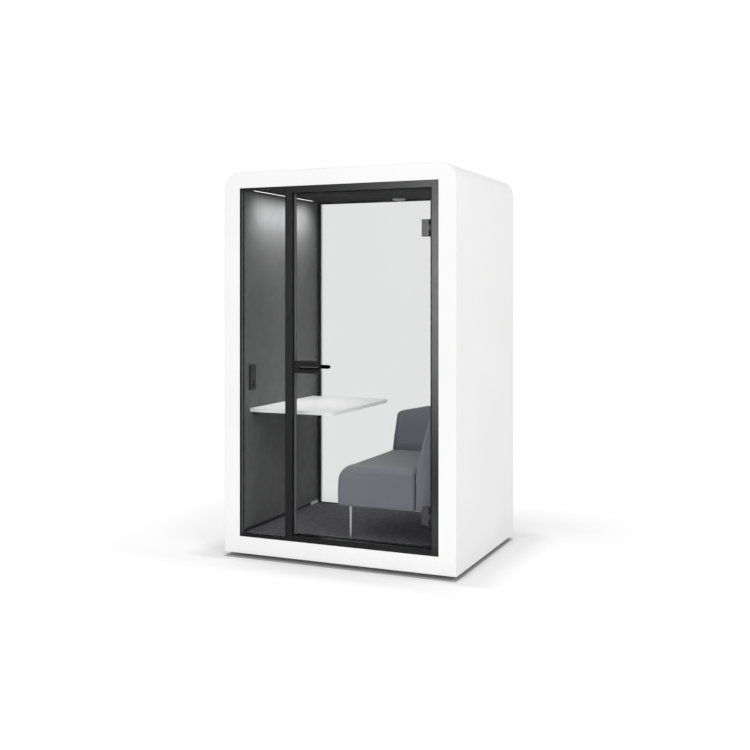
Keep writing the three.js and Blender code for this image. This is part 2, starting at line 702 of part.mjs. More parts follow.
// The fixed sidelight: a slim channel on three sides, closed by the mullion.
function buildSidelight() {
  const left = -openHalf + GAP;
  const right = mullionLeft - GAP;
  const low = openLow + GAP;
  const high = openHigh - GAP;
  const far = frontY + CHANNEL_DEPTH;
  const block = box(left, right, frontY, far, low, high);
  const opening = box(
    left + CHANNEL_FACE, right + CUT_OVERSHOOT, frontY - CUT_OVERSHOOT, far + CUT_OVERSHOOT,
    low + CHANNEL_FACE, high - CHANNEL_FACE,
  );
  const glassNear = frontY + SIDELIGHT_RECESS;
  const groove = box(
    left + CHANNEL_FACE - GLASS_GROOVE - GAP, right + CUT_OVERSHOOT,
    glassNear - GAP, glassNear + GLASS + GAP,
    low + CHANNEL_FACE - GLASS_GROOVE - GAP, high - CHANNEL_FACE + GLASS_GROOVE + GAP,
  );
  addPiece('sidelight_channel', shaped(block, [], [opening, groove]), 'anthracite');
  addPiece('sidelight_glass', box(
    left + CHANNEL_FACE - GLASS_GROOVE, mullionLeft + GLASS_GROOVE - GAP, glassNear, glassNear + GLASS,
    low + CHANNEL_FACE - GLASS_GROOVE, high - CHANNEL_FACE + GLASS_GROOVE,
  ), 'glass');
}

// The fixed front frame: mullion, head, jamb and sill round the door.
const boltLow = lockZ - BOLT_HEIGHT / 2;
const boltHigh = lockZ + BOLT_HEIGHT / 2;
function buildFrontFrame() {
  const glassNear = frontY + SIDELIGHT_RECESS;
  const post = box(mullionLeft, mullionRight, frontY, frameBackY, openLow + GAP, openHigh - GAP);
  const groove = box(
    mullionLeft - CUT_OVERSHOOT, mullionLeft + GLASS_GROOVE, glassNear - GAP, glassNear + GLASS + GAP,
    openLow + CHANNEL_FACE - GLASS_GROOVE, openHigh - CHANNEL_FACE + GLASS_GROOVE,
  );
  const keep = box(
    mullionRight - BOLT_THROW, mullionRight + CUT_OVERSHOOT,
    frontY - CUT_OVERSHOOT, doorBackY, boltLow - STRIKE_SLOT_MARGIN, boltHigh + STRIKE_SLOT_MARGIN,
  );
  addPiece('mullion', shaped(post, [], [groove, keep]), 'anthracite');
  addPiece('door_head', box(
    mullionRight + GAP, openHalf - GAP, frontY, frameBackY, headLow, openHigh - GAP,
  ), 'anthracite');
  addPiece('door_jamb', box(
    jambLeft, openHalf - GAP, frontY, frameBackY, openLow + GAP, headLow - GAP,
  ), 'anthracite');
  addPiece('door_sill', box(
    mullionRight + GAP, jambLeft - GAP, frontY, frameBackY, openLow + GAP, sillHigh,
  ), 'anthracite');
  const strike = box(
    mullionRight + GAP, mullionRight + GAP + STRIKE_THICK, frontY + CUT_OVERSHOOT, doorBackY + LOCK_PLATE,
    lockZ - LOCK_HEIGHT / 2, lockZ + LOCK_HEIGHT / 2,
  );
  const slot = box(
    mullionRight - CUT_OVERSHOOT, mullionRight + DOOR_EDGE_GAP, frontY - CUT_OVERSHOOT, doorBackY,
    boltLow - STRIKE_SLOT_MARGIN, boltHigh + STRIKE_SLOT_MARGIN,
  );
  addPiece('strike_plate', shaped(strike, [], [slot]), 'steel');
}

// A rubber stop seal behind the door glass, seated on the head, the jamb and the sill.
function buildStopSeal() {
  const near = doorBackY + SEAL_WALL + GAP;
  const far = near + STOP_SEAL_THICK;
  const block = box(doorLeft, jambLeft - GAP, near, far, sillHigh + GAP, headLow - GAP);
  const opening = box(
    doorLeft - CUT_OVERSHOOT, hingeX - KNUCKLE_RADIUS, near - CUT_OVERSHOOT, far + CUT_OVERSHOOT,
    sillHigh + SILL_SEAL_COVER, headLow - STOP_SEAL_COVER,
  );
  const gaps = [];
  for (const z of [hingeUpperZ, hingeLowerZ]) {
    gaps.push(box(
      jambLeft - GAP - HINGE_LEAF - GAP, jambLeft, near - CUT_OVERSHOOT, far + CUT_OVERSHOOT,
      z - HINGE_HEIGHT / 2 - GAP, z + HINGE_HEIGHT / 2 + GAP,
    ));
  }
  addPiece('door_stop_seal', shaped(block, [], [opening, ...gaps]), 'rubber');
}

// The door leaf: glass with a notch for each hinge and for the lock.
const lockLeft = doorLeft + GAP;
const bodyLeft = doorLeft;
const clampRight = hingeX - KNUCKLE_RADIUS - RUNNING_GAP * 3;
const clampLeft = clampRight - CLAMP_WIDTH;
const webLeft = clampRight - CLAMP_WEB;
const webHalf = HINGE_HEIGHT / 2 - CLAMP_WEB;
function buildDoorGlass() {
  const sheet = box(doorLeft, doorRight, doorFrontY, doorBackY, doorLow, doorHigh);
  const cuts = [hingeUpperZ, hingeLowerZ].map((z) => box(
    webLeft - GAP, doorRight + CUT_OVERSHOOT, doorFrontY - CUT_OVERSHOOT, doorBackY + CUT_OVERSHOOT,
    z - HINGE_HEIGHT / 2, z + HINGE_HEIGHT / 2,
  ));
  cuts.push(box(
    doorLeft - CUT_OVERSHOOT, bodyLeft + LOCK_BODY_LENGTH + GAP,
    doorFrontY - CUT_OVERSHOOT, doorBackY + CUT_OVERSHOOT,
    lockZ - LOCK_BODY_HEIGHT / 2 - GAP, lockZ + LOCK_BODY_HEIGHT / 2 + GAP,
  ));
  addPiece('door_glass', shaped(sheet, [], cuts), 'glass');
}

// A clear channel seal clipped on the closing edge, above and below the lock.
function buildEdgeSeals() {
  const spans = [
    ['upper', lockZ + LOCK_HEIGHT / 2 + GAP, doorHigh],
    ['lower', doorLow, lockZ - LOCK_HEIGHT / 2 - GAP],
  ];
  for (const [name, low, high] of spans) {
    const outside = box(
      doorLeft - SEAL_WALL, doorLeft + SEAL_WIDTH, doorFrontY - SEAL_WALL, doorBackY + SEAL_WALL, low, high,
    );
    const inside = box(
      doorLeft - GAP, doorLeft + SEAL_WIDTH + CUT_OVERSHOOT, doorFrontY - GAP, doorBackY + GAP,
      low - CUT_OVERSHOOT, high + CUT_OVERSHOOT,
    );
    addPiece(`door_edge_seal_${name}`, shaped(outside, [], [inside]), 'clearSeal');
  }
}

// Each hinge: a bracket with a pin on the jamb, and a clamp on the glass that turns round the pin.
function buildHinges() {
  const axis = [hingeX, hingeY];
  for (const [name, middle] of [['upper', hingeUpperZ], ['lower', hingeLowerZ]]) {
    const low = middle - HINGE_HEIGHT / 2;
    const high = middle + HINGE_HEIGHT / 2;
    const lowKnuckle = low + HINGE_HEIGHT / 3;
    const highKnuckle = high - HINGE_HEIGHT / 3;
    const leafRight = jambLeft - GAP;
    const leafLeft = leafRight - HINGE_LEAF;
    const leaf = box(leafLeft, leafRight, hingeY - KNUCKLE_RADIUS, hingeY + HINGE_LEAF_DEPTH, low, high);
    const fixed = [bar('z', PIN_RADIUS, axis, low + HINGE_LEAF, high - HINGE_LEAF)];
    for (const [from, to] of [[low, lowKnuckle], [highKnuckle, high]]) {
      fixed.push(bar('z', KNUCKLE_RADIUS, axis, from, to));
      fixed.push(box(hingeX, leafLeft + GAP, hingeY - KNUCKLE_RADIUS, hingeY + KNUCKLE_RADIUS, from, to));
    }
    addPiece(`hinge_bracket_${name}`, shaped(leaf, fixed, []), 'hardware');
    const front = box(
      clampLeft, clampRight, doorFrontY - GAP - CLAMP_THICK, doorFrontY - GAP, low, high,
    );
    const moving = [
      box(clampLeft, clampRight, doorBackY + GAP, doorBackY + GAP + CLAMP_THICK, low, high),
      box(
        webLeft, clampRight, doorFrontY - GAP - CLAMP_THICK, doorBackY + GAP + CLAMP_THICK,
        middle - webHalf, middle + webHalf,
      ),
      box(
        clampRight - CUT_OVERSHOOT, hingeX, doorFrontY - GAP - CLAMP_THICK, doorFrontY,
        lowKnuckle + GAP, highKnuckle - GAP,
      ),
      bar('z', KNUCKLE_RADIUS - GAP, axis, lowKnuckle + GAP, highKnuckle - GAP),
    ];
    const hole = bar('z', PIN_RADIUS + PIN_CLEARANCE, axis, low - CUT_OVERSHOOT, high + CUT_OVERSHOOT);
    addPiece(`hinge_clamp_${name}`, shaped(front, moving, [hole]), 'hardware');
  }
}

// The lock: a body in the glass notch, two covers, two levers on a square spindle, and a bolt.
const bodyLow = lockZ - LOCK_BODY_HEIGHT / 2;
const bodyHigh = lockZ + LOCK_BODY_HEIGHT / 2;
function buildLock() {
  const pivot = [leverX, lockZ];
  const bodyNear = lockFrontY + LOCK_WALL + GAP;
  const bodyFar = lockBackY - LOCK_WALL - GAP;
  const middleY = (doorFrontY + doorBackY) / 2;
  const body = box(bodyLeft, bodyLeft + LOCK_BODY_LENGTH, bodyNear, bodyFar, bodyLow, bodyHigh);
  const boltRight = doorLeft + BOLT_LENGTH;
  const cavities = [
    box(
      bodyLeft - CUT_OVERSHOOT, boltRight + BOLT_THROW + RUNNING_GAP,
      middleY - BOLT_THICK / 2 - GAP, middleY + BOLT_THICK / 2 + GAP, boltLow - GAP, boltHigh + GAP,
    ),
    bar('y', HUB_RADIUS + GAP, pivot, bodyNear - CUT_OVERSHOOT, bodyFar + CUT_OVERSHOOT),
  ];
  addPiece('lock_body', shaped(body, [], cavities), 'steel');
  const covers = [
    ['outer', lockFrontY, doorFrontY - GAP, lockFrontY + LOCK_WALL, doorFrontY + CUT_OVERSHOOT],
    ['inner', doorBackY + GAP, lockBackY, doorBackY - CUT_OVERSHOOT, lockBackY - LOCK_WALL],
  ];
  for (const [name, near, far, hollowNear, hollowFar] of covers) {
    const cover = box(
      lockLeft, lockLeft + LOCK_LENGTH, near, far, lockZ - LOCK_HEIGHT / 2, lockZ + LOCK_HEIGHT / 2,
    );
    const hollow = box(
      lockLeft - CUT_OVERSHOOT, lockLeft + LOCK_LENGTH - LOCK_WALL, hollowNear, hollowFar,
      lockZ - LOCK_HEIGHT / 2 + LOCK_WALL, lockZ + LOCK_HEIGHT / 2 - LOCK_WALL,
    );
    const neckHole = bar('y', NECK_RADIUS + GAP, pivot, near - CUT_OVERSHOOT, far + CUT_OVERSHOOT);
    addPiece(`lock_cover_${name}`, shaped(cover, [], [hollow, neckHole]), 'hardware');
  }
  const bolt = box(
    mullionRight - BOLT_THROW + RUNNING_GAP, boltRight, middleY - BOLT_THICK / 2, middleY + BOLT_THICK / 2,
    boltLow, boltHigh,
  );
  addPiece('latch_bolt', bolt, 'steel');
  const hub = bar('y', HUB_RADIUS, pivot, bodyNear, bodyFar);
  const squareHalf = SPINDLE_SIDE / 2;
  const square = (margin, y0, y1) => box(
    leverX - squareHalf - margin, leverX + squareHalf + margin, y0, y1,
    lockZ - squareHalf - margin, lockZ + squareHalf + margin,
  );
  const neckSink = LOCK_WALL + NECK_RADIUS;
  const spindle = square(0, lockFrontY - neckSink, lockBackY + neckSink);
  addPiece('lever_spindle', shaped(hub, [spindle], []), 'steel');
  const barOutline = rectangle(
    leverX - LEVER_HEIGHT / 2, leverX + LEVER_LENGTH, lockZ - LEVER_HEIGHT / 2, lockZ + LEVER_HEIGHT / 2,
    LEVER_HEIGHT / 2 - GAP,
  );
  const levers = [
    ['outer', leverFrontY, leverFrontY + LEVER_THICK,
      leverFrontY + LEVER_THICK / 2, lockFrontY + LOCK_WALL],
    ['inner', lockBackY + LEVER_STANDOFF, lockBackY + LEVER_STANDOFF + LEVER_THICK,
      lockBackY - LOCK_WALL, lockBackY + LEVER_STANDOFF + LEVER_THICK / 2],
  ];
  for (const [name, near, far, neckNear, neckFar] of levers) {
    const handle = alongY(barOutline, near, far);
    const neck = bar('y', NECK_RADIUS, pivot, neckNear, neckFar);
    const socket = square(
      GAP, lockFrontY - neckSink - GAP, lockBackY + neckSink + GAP,
    );
    addPiece(`lever_${name}`, shaped(handle, [neck], [socket]), 'hardware');
  }
}

// The fixed back glazing.
function buildBackGlazing() {
  const left = -openHalf + GAP;
  const right = openHalf - GAP;
  const low = openLow + GAP;
  const high = openHigh - GAP;
  const face = BACK_FRAME_FACE;
  const block = box(left, right, backFrameNear, backFrameFar, low, high);
  const opening = box(
    left + face, right - face, backFrameNear - CUT_OVERSHOOT, backFrameFar + CUT_OVERSHOOT,
    low + face, high - face,
  );
  const glassNear = (backFrameNear + backFrameFar - GLASS) / 2;
  const sink = face - GLASS_GROOVE;
  const groove = box(
    left + sink - GAP, right - sink + GAP, glassNear - GAP, glassNear + GLASS + GAP,
    low + sink - GAP, high - sink + GAP,
  );
  addPiece('back_frame', shaped(block, [], [opening, groove]), 'anthracite');
  addPiece('back_glass', box(
    left + sink, right - sink, glassNear, glassNear + GLASS, low + sink, high - sink,
  ), 'glass');
}

// The wall table: a laminate top on a steel wall bracket whose arms lie in grooves under the top.
function buildTable() {
  const left = -feltFace + GAP;
  const right = left + TABLE_WIDTH;
  const low = tableTop - TABLE_THICK;
  const outline = new THREE.Shape();
  outline.moveTo(left, tableFront);
  outline.lineTo(right - TABLE_CORNER, tableFront);
  outline.absarc(right - TABLE_CORNER, tableFront + TABLE_CORNER, TABLE_CORNER, -Math.PI / 2, 0, false);
  outline.lineTo(right, tableBack - TABLE_CORNER);
  outline.absarc(right - TABLE_CORNER, tableBack - TABLE_CORNER, TABLE_CORNER, 0, Math.PI / 2, false);
  outline.lineTo(left, tableBack);
  const top = alongZ(outline, low, tableTop);
  const armPlaces = [tableFront + ARM_INSET, tableBack - ARM_INSET - ARM_WIDTH];
  const grooves = armPlaces.map((y) => box(
    left - CUT_OVERSHOOT, left + ARM_LENGTH + GAP, y - GAP, y + ARM_WIDTH + GAP,
    low - CUT_OVERSHOOT, low + ARM_THICK + GAP,
  ));
  addPiece('table_top', shaped(top, [], grooves), 'laminate');
  const rail = box(
    left, left + RAIL_DEPTH, tableFront + ARM_WIDTH, tableBack - ARM_WIDTH,
    low - GAP - RAIL_HEIGHT, low - GAP,
  );
  const arms = armPlaces.map((y) => box(
    left, left + ARM_LENGTH, y, y + ARM_WIDTH, low - GAP - RAIL_HEIGHT / 2, low + ARM_THICK,
  ));
  const undercuts = armPlaces.map((y) => box(
    left + RAIL_DEPTH, left + ARM_LENGTH + CUT_OVERSHOOT, y - CUT_OVERSHOOT, y + ARM_WIDTH + CUT_OVERSHOOT,
    low - RAIL_HEIGHT, low - GAP,
  ));
  addPiece('table_bracket', shaped(rail, arms, undercuts), 'hardware');
}

// A padded block between two corners: a box with rounded edges and crowned faces, then bent to its place.
function paddedBlock(from, to, radius, softRadius, crowns, bend) {
  const n = PAD_SEGMENTS;
  const geometry = new THREE.BoxGeometry(2, 2, 2, n, n, n);
  const low = new THREE.Vector3(...from);
  const high = new THREE.Vector3(...to);
  const size = high.clone().sub(low).multiplyScalar(0.5);
  const middle = high.clone().add(low).multiplyScalar(0.5);
  const position = geometry.attributes.position;
  for (let i = 0; i < position.count; i += 1) {
    const unit = new THREE.Vector3().fromBufferAttribute(position, i);
    const place = roundedPlace(unit, size, radius, softRadius, crowns).multiply(size).add(middle);
    const target = bend(place);
    position.setXYZ(i, target.x, target.y, target.z);
  }
  geometry.deleteAttribute('normal');
  geometry.deleteAttribute('uv');
  const merged = mergeVertices(geometry, 1e-4);
  merged.computeVertexNormals();
  return merged;
}

// Where a point of the unit cube lies on the rounded and crowned block, in shares of its half sizes.
// The upper left edge takes the softer radius. The underside stays flat.
function roundedPlace(unit, size, radius, softRadius, crowns) {
  const eased = new THREE.Vector3(
    Math.sin((unit.x * Math.PI) / 2), Math.sin((unit.y * Math.PI) / 2), Math.sin((unit.z * Math.PI) / 2),
  );
  const softness = Math.max(0, -eased.x) * Math.max(0, eased.z);
  const turn = radius + (softRadius - radius) * softness;
  const real = eased.clone().multiply(size);
  const core = new THREE.Vector3(
    THREE.MathUtils.clamp(real.x, turn - size.x, size.x - turn),
    THREE.MathUtils.clamp(real.y, turn - size.y, size.y - turn),
    THREE.MathUtils.clamp(real.z, turn - size.z, size.z - turn),
  );
  const outward = real.clone().sub(core);
  if (outward.length() > 0) {
    outward.setLength(turn);
  }
  const rounded = core.add(outward).divide(size);
  const share = crowns.clone().divide(size);
  const swell = new THREE.Vector3(
    rounded.x * share.x * (1 - rounded.y ** 2) * (1 - rounded.z ** 2),
    rounded.y * share.y * (1 - rounded.x ** 2) * (1 - rounded.z ** 2),
    Math.max(0, rounded.z) * share.z * (1 - rounded.x ** 2) * (1 - rounded.y ** 2),
  );
  return new THREE.Vector3(
    rounded.x * (1 - share.x) + swell.x,
    rounded.y * (1 - share.y) + swell.y,
    rounded.z * (1 - share.z / 2) + swell.z - share.z / 2,
  );
}

// The sofa: seat, leaning back along the right wall, and a leaning wing at the far end.
function buildSofa() {
  const low = sofaUnderside + GAP;
  const straight = (point) => point;
  const crowns = (top) => new THREE.Vector3(SIDE_CROWN, SIDE_CROWN, top);
  addPiece('sofa_seat', paddedBlock(
    [sofaLeft, sofaNear, low], [seatBackX, seatFarY, seatTop],
    SEAT_EDGE_RADIUS, SEAT_FRONT_RADIUS, crowns(SEAT_CROWN), straight,
  ), 'upholstery');
  const backFront = seatBackX + PAD_GAP;
  const backLean = (backTopFrontX - backFront) / (backTop - seatTop);
  const backFaceAt = (z) => backFront + backLean * Math.max(0, z - seatTop);
  const bendBack = (point) => new THREE.Vector3(
    backRestX - ((backRestX - point.x) * (backRestX - backFaceAt(point.z))) / (backRestX - backFront),
    point.y, point.z,
  );
  addPiece('sofa_back', paddedBlock(
    [backFront, sofaNear, low], [backRestX, sofaFar, backTop],
    PAD_RADIUS, PAD_RADIUS, crowns(PAD_CROWN), bendBack,
  ), 'upholstery');
  const wingNear = seatFarY + PAD_GAP;
  const wingRight = backFront - PAD_GAP;
  const wingLean = (wingTopFrontY - wingNear) / (wingTopRightZ - seatTop);
  const wingSlope = (wingTopRightZ - wingTopLeftZ) / (wingRight - sofaLeft);
  const bendWing = (point) => {
    const topHere = wingTopRightZ - wingSlope * (wingRight - point.x);
    const z = low + ((point.z - low) * (topHere - low)) / (wingTopRightZ - low);
    const above = Math.max(0, z - seatTop);
    const faceY = wingNear + wingLean * above;
    const leftX = sofaLeft + ((wingTopLeftX - sofaLeft) * above) / (wingTopLeftZ - seatTop);
    const rightX = backFaceAt(z) - PAD_GAP;
    return new THREE.Vector3(
      leftX + ((point.x - sofaLeft) * (rightX - leftX)) / (wingRight - sofaLeft),
      sofaFar - ((sofaFar - point.y) * (sofaFar - faceY)) / (sofaFar - wingNear),
      z,
    );
  };
  addPiece('sofa_wing', paddedBlock(
    [sofaLeft, wingNear, low], [wingRight, sofaFar, wingTopRightZ],
    PAD_RADIUS, PAD_RADIUS, crowns(PAD_CROWN), bendWing,
  ), 'upholstery');
  const left = sofaLeft + SOFA_PLATE_INSET;
  const right = backRestX - SOFA_PLATE_INSET;
  const near = sofaNear + SOFA_PLATE_INSET;
  const far = sofaFar - SOFA_PLATE_INSET;
  const plate = box(left, right, near, far, sofaUnderside - SOFA_PLATE, sofaUnderside);
  const legs = [];
  for (const x of [sofaLeft + LEG_INSET_LEFT, backRestX - LEG_INSET_RIGHT - LEG_WIDTH]) {
    const legNear = sofaNear + LEG_INSET_Y;
    const legFar = sofaFar - LEG_INSET_Y;
    legs.push(
      box(x, x + LEG_WIDTH, legNear, legNear + LEG_WIDTH, floorLevel + GAP, sofaUnderside),
      box(x, x + LEG_WIDTH, legFar - LEG_WIDTH, legFar, floorLevel + GAP, sofaUnderside),
      box(x, x + LEG_WIDTH, legNear, legFar, sofaUnderside - SOFA_PLATE, sofaUnderside),
    );
  }
  addPiece('sofa_underframe', shaped(plate, legs, []), 'steel');
}

// The power panel on the left wall: bezel, round socket and rocker light switch.
function buildPowerPanel() {
  const rear = -feltFace + GAP;
  const face = rear + PANEL_THICK;
  const far = panelNearY + PANEL_WIDTH;
  const high = panelLowZ + PANEL_HEIGHT;
  const middleY = panelNearY + PANEL_WIDTH / 2;
  const windowNear = middleY - PANEL_WINDOW / 2;
  const windowFar = middleY + PANEL_WINDOW / 2;
  const switchHigh = high - PANEL_WINDOW_MARGIN;
  const switchLow = switchHigh - SWITCH_HEIGHT;
  const socketLow = panelLowZ + PANEL_WINDOW_MARGIN;
  const socketHigh = socketLow + PANEL_WINDOW;
  const plate = box(rear, face, panelNearY, far, panelLowZ, high);
  const through = (low, top) => box(
    rear - CUT_OVERSHOOT, face + CUT_OVERSHOOT, windowNear, windowFar, low, top,
  );
  addPiece('power_bezel', shaped(plate, [], [
    through(switchLow, switchHigh), through(socketLow, socketHigh),
  ]), 'plastic');
  const socket = box(
    rear, face - RUNNING_GAP, windowNear + GAP, windowFar - GAP, socketLow + GAP, socketHigh - GAP,
  );
  const recess = bar(
    'x', SOCKET_RECESS_RADIUS, [middleY, (socketLow + socketHigh) / 2],
    face - RUNNING_GAP - SOCKET_RECESS_DEPTH, face + CUT_OVERSHOOT,
  );
  addPiece('power_socket', shaped(socket, [], [recess]), 'plastic');
  const rockerRear = rear + PANEL_THICK / 2;
  const rocker = box(
    rockerRear, face + ROCKER_PROUD, windowNear + RUNNING_GAP, windowFar - RUNNING_GAP,
    switchLow + RUNNING_GAP, switchHigh - RUNNING_GAP,
  );
  const pivotPin = bar(
    'y', ROCKER_PIN_RADIUS, [(rockerRear + face) / 2, (switchLow + switchHigh) / 2],
    windowNear + GAP, windowFar - GAP,
  );
  addPiece('light_switch', shaped(rocker, [pivotPin], []), 'plastic');
}

// The mains inlet: a flanged block with a mouth and three blades, flush in the back border.
function buildMainsInlet() {
  const block = box(
    mainsX - MAINS_WIDTH / 2, mainsX + MAINS_WIDTH / 2, backY - MAINS_DEPTH, backY,
    mainsZ - MAINS_HEIGHT / 2, mainsZ + MAINS_HEIGHT / 2,
  );
  const mouthFloor = backY - MAINS_MOUTH_DEPTH;
  const mouth = box(
    mainsX - MAINS_MOUTH_WIDTH / 2, mainsX + MAINS_MOUTH_WIDTH / 2, mouthFloor, backY + CUT_OVERSHOOT,
    mainsZ - MAINS_MOUTH_HEIGHT / 2, mainsZ + MAINS_MOUTH_HEIGHT / 2,
  );
  const blades = [-1, 0, 1].map((step) => box(
    mainsX + (step * MAINS_MOUTH_WIDTH) / 4 - MAINS_PIN / 2,
    mainsX + (step * MAINS_MOUTH_WIDTH) / 4 + MAINS_PIN / 2,
    mouthFloor - CUT_OVERSHOOT, mouthFloor + MAINS_PIN_LENGTH, mainsZ - MAINS_PIN, mainsZ + MAINS_PIN,
  ));
  addPiece('mains_inlet', shaped(shaped(block, [], [mouth]), blades, []), 'plastic');
}

buildOuterShell();
buildSurrounds();
buildBase();
buildFeet();
buildWalls();
buildAirInlet();
buildRoof();
buildRoofVent();
buildFan();
buildLamp();
buildSidelight();
buildFrontFrame();
buildStopSeal();
buildDoorGlass();
buildEdgeSeals();
buildHinges();
buildLock();
buildBackGlazing();
buildTable();
buildSofa();
buildPowerPanel();
buildMainsInlet();

export default pod;
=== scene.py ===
"""Dresses the acoustic office pod: studio, finishes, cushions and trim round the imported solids."""

import logging
import math
from collections.abc import Callable
from dataclasses import dataclass, field
from enum import Enum

import bmesh
import bpy
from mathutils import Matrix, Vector
from mathutils.bvhtree import BVHTree
from mathutils.kdtree import KDTree


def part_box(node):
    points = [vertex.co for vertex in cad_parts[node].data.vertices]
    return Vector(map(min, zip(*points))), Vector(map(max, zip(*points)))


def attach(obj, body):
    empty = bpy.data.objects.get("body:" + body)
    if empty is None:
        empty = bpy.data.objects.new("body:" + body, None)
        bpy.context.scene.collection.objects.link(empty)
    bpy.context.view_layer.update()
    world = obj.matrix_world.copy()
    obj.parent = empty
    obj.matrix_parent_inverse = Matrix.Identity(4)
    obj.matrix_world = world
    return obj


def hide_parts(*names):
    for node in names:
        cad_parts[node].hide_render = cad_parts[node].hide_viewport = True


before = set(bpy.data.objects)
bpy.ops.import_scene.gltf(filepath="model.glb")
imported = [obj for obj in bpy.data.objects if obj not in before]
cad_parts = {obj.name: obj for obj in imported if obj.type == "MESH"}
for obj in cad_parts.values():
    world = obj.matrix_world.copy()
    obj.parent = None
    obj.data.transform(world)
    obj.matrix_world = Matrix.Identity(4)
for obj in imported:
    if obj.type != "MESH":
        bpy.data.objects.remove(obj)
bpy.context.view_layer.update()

LOG = logging.getLogger("pod")
# Edges bent more than this stay sharp or are rounded.
CREASE = math.radians(35.0)
# A face looks one way if its normal reaches this far along it.
FACING = 0.5
AXES = range(3)
X_AXIS = Vector((1.0, 0.0, 0.0))
Y_AXIS = Vector((0.0, 1.0, 0.0))
WHITE = (1.0, 1.0, 1.0, 1.0)

Colour = tuple[float, float, float]
Point = tuple[float, float, float]
Span = tuple[float, float]
Socket = bpy.types.NodeSocket
Relief = tuple[Socket, Socket]


class Grain(Enum):
    """The fine surface that a finish shows close up."""

    POWDER = "powder coat"
    PLASTIC = "moulded plastic"
    BRUSHED = "brushed metal"
    FELT = "needled felt"
    CARPET = "loop carpet"
    WEAVE = "woven cloth"
    BOARD = "laminate board"
    WOOD = "plywood"
    RUBBER = "soft rubber"


class Ray(Enum):
    """A kind of ray that a lamp can be hidden from."""

    CAMERA = "visible_camera"
    DIFFUSE = "visible_diffuse"
    GLOSSY = "visible_glossy"
    TRANSMISSION = "visible_transmission"


@dataclass(frozen=True)
class Finish:
    """One surface finish: its colour, gloss and grain."""

    name: str
    colour: Colour
    roughness: float
    grain: Grain
    metallic: float = 0.0
    specular: float = 0.5
    tone: float = 0.06
    depth: float = 0.0001
    sheen: float = 0.0


@dataclass(frozen=True)
class GlassFinish:
    """A clear pane: its tint, how strongly it mirrors and the film on it."""

    name: str
    tint: Colour
    ior: float
    film: float = 0.012
    film_scale: float = 3.0


@dataclass(frozen=True)
class LampFinish:
    """A lit diffuser, with a faint fall-off in its tone."""

    name: str
    colour: Colour
    strength: float
    fall_off: float = 0.94
    cloud_scale: float = 30.0
    roughness: float = 0.4


AnyFinish = Finish | GlassFinish | LampFinish

WHITE_LACQUER = Finish("white_lacquer", (0.92, 0.92, 0.918), 0.5, Grain.POWDER, specular=0.2, tone=0.012,
                       depth=0.00004)
ANTHRACITE = Finish("anthracite_frame", (0.0105, 0.0107, 0.0112), 0.29, Grain.POWDER, specular=0.28, tone=0.1,
                    depth=0.00006)
MATT_ANTHRACITE = Finish("anthracite_matt", (0.034, 0.034, 0.035), 0.6, Grain.POWDER, specular=0.25, tone=0.1,
                         depth=0.00006)
BLACK_HARDWARE = Finish("black_hardware", (0.018, 0.018, 0.0185), 0.36, Grain.POWDER, specular=0.25, tone=0.1,
                        depth=0.00004)
LEVER_BLACK = Finish("lever_black", (0.004, 0.004, 0.0042), 0.3, Grain.POWDER, specular=0.12, tone=0.1,
                     depth=0.00003)
# A lighter grey for the strip along each lever's upper edge: a painted highlight for the gloss on its rounded
# top.
LEVER_HIGHLIGHT_PAINT = Finish("painted_lever_highlight", (0.11, 0.11, 0.111), 0.35, Grain.BRUSHED, tone=0.06)
PANE_EDGE = Finish("glass_edge", (0.026, 0.032, 0.03), 0.4, Grain.PLASTIC, specular=0.3, tone=0.1)
HINGE_GREY = Finish("hinge_grey", (0.03, 0.031, 0.03), 0.4, Grain.POWDER, specular=0.4, tone=0.08,
                    depth=0.00004)
BLACK_PLASTIC = Finish("black_plastic", (0.02, 0.02, 0.021), 0.5, Grain.PLASTIC, specular=0.35, tone=0.08)
WHITE_PLASTIC = Finish("white_plastic", (0.48, 0.48, 0.475), 0.5, Grain.PLASTIC, tone=0.02)
CLEAR_SEAL = Finish("clear_seal", (0.14, 0.141, 0.141), 0.35, Grain.PLASTIC, tone=0.05)
RUBBER = Finish("black_rubber", (0.03, 0.03, 0.03), 0.75, Grain.RUBBER, specular=0.25, tone=0.1)
ZINC = Finish("zinc_steel", (0.5, 0.51, 0.53), 0.35, Grain.BRUSHED, metallic=1.0, tone=0.06)
DARK_ZINC = Finish("dark_zinc", (0.04, 0.04, 0.041), 0.5, Grain.BRUSHED, specular=0.3, tone=0.08)
# A lighter grey for the faces inside the mullion's keeper recess: painted light where the recess lies in
# shade.
KEEPER_PAINTED_LIGHT = Finish("keeper_recess_painted_light", (0.095, 0.095, 0.096), 0.6, Grain.POWDER, specular=0.25, tone=0.08)
SATIN_STEEL = Finish("satin_steel", (0.5, 0.5, 0.51), 0.42, Grain.BRUSHED, metallic=1.0, tone=0.05)
LAMP_CHANNEL = Finish("led_aluminium", (0.7, 0.7, 0.71), 0.4, Grain.BRUSHED, metallic=1.0, tone=0.05)
WALL_FELT = Finish("wall_felt", (0.13, 0.13, 0.132), 1.0, Grain.FELT, specular=0.1, tone=0.22, depth=0.0006,
                   sheen=0.15)
CEILING_FELT = Finish("ceiling_felt", (0.03, 0.03, 0.031), 1.0, Grain.FELT, specular=0.1, tone=0.22,
                      depth=0.0006)
CARPET = Finish("carpet", (0.17, 0.167, 0.187), 1.0, Grain.CARPET, specular=0.08, tone=0.35, depth=0.0022)
UPHOLSTERY = Finish("grey_upholstery", (0.168, 0.178, 0.196), 0.95, Grain.WEAVE, specular=0.15, tone=0.14,
                    depth=0.0004, sheen=0.2)
SEAM_THREAD = Finish("seam_thread", (0.16, 0.168, 0.187), 0.95, Grain.WEAVE, specular=0.1, tone=0.1,
                     depth=0.0003)
LAMINATE = Finish("white_laminate", (0.88, 0.88, 0.875), 0.42, Grain.BOARD, specular=0.35, tone=0.015,
                  depth=0.00005)
PLYWOOD = Finish("plywood", (0.55, 0.4, 0.25), 0.6, Grain.WOOD, tone=0.25, depth=0.0002)
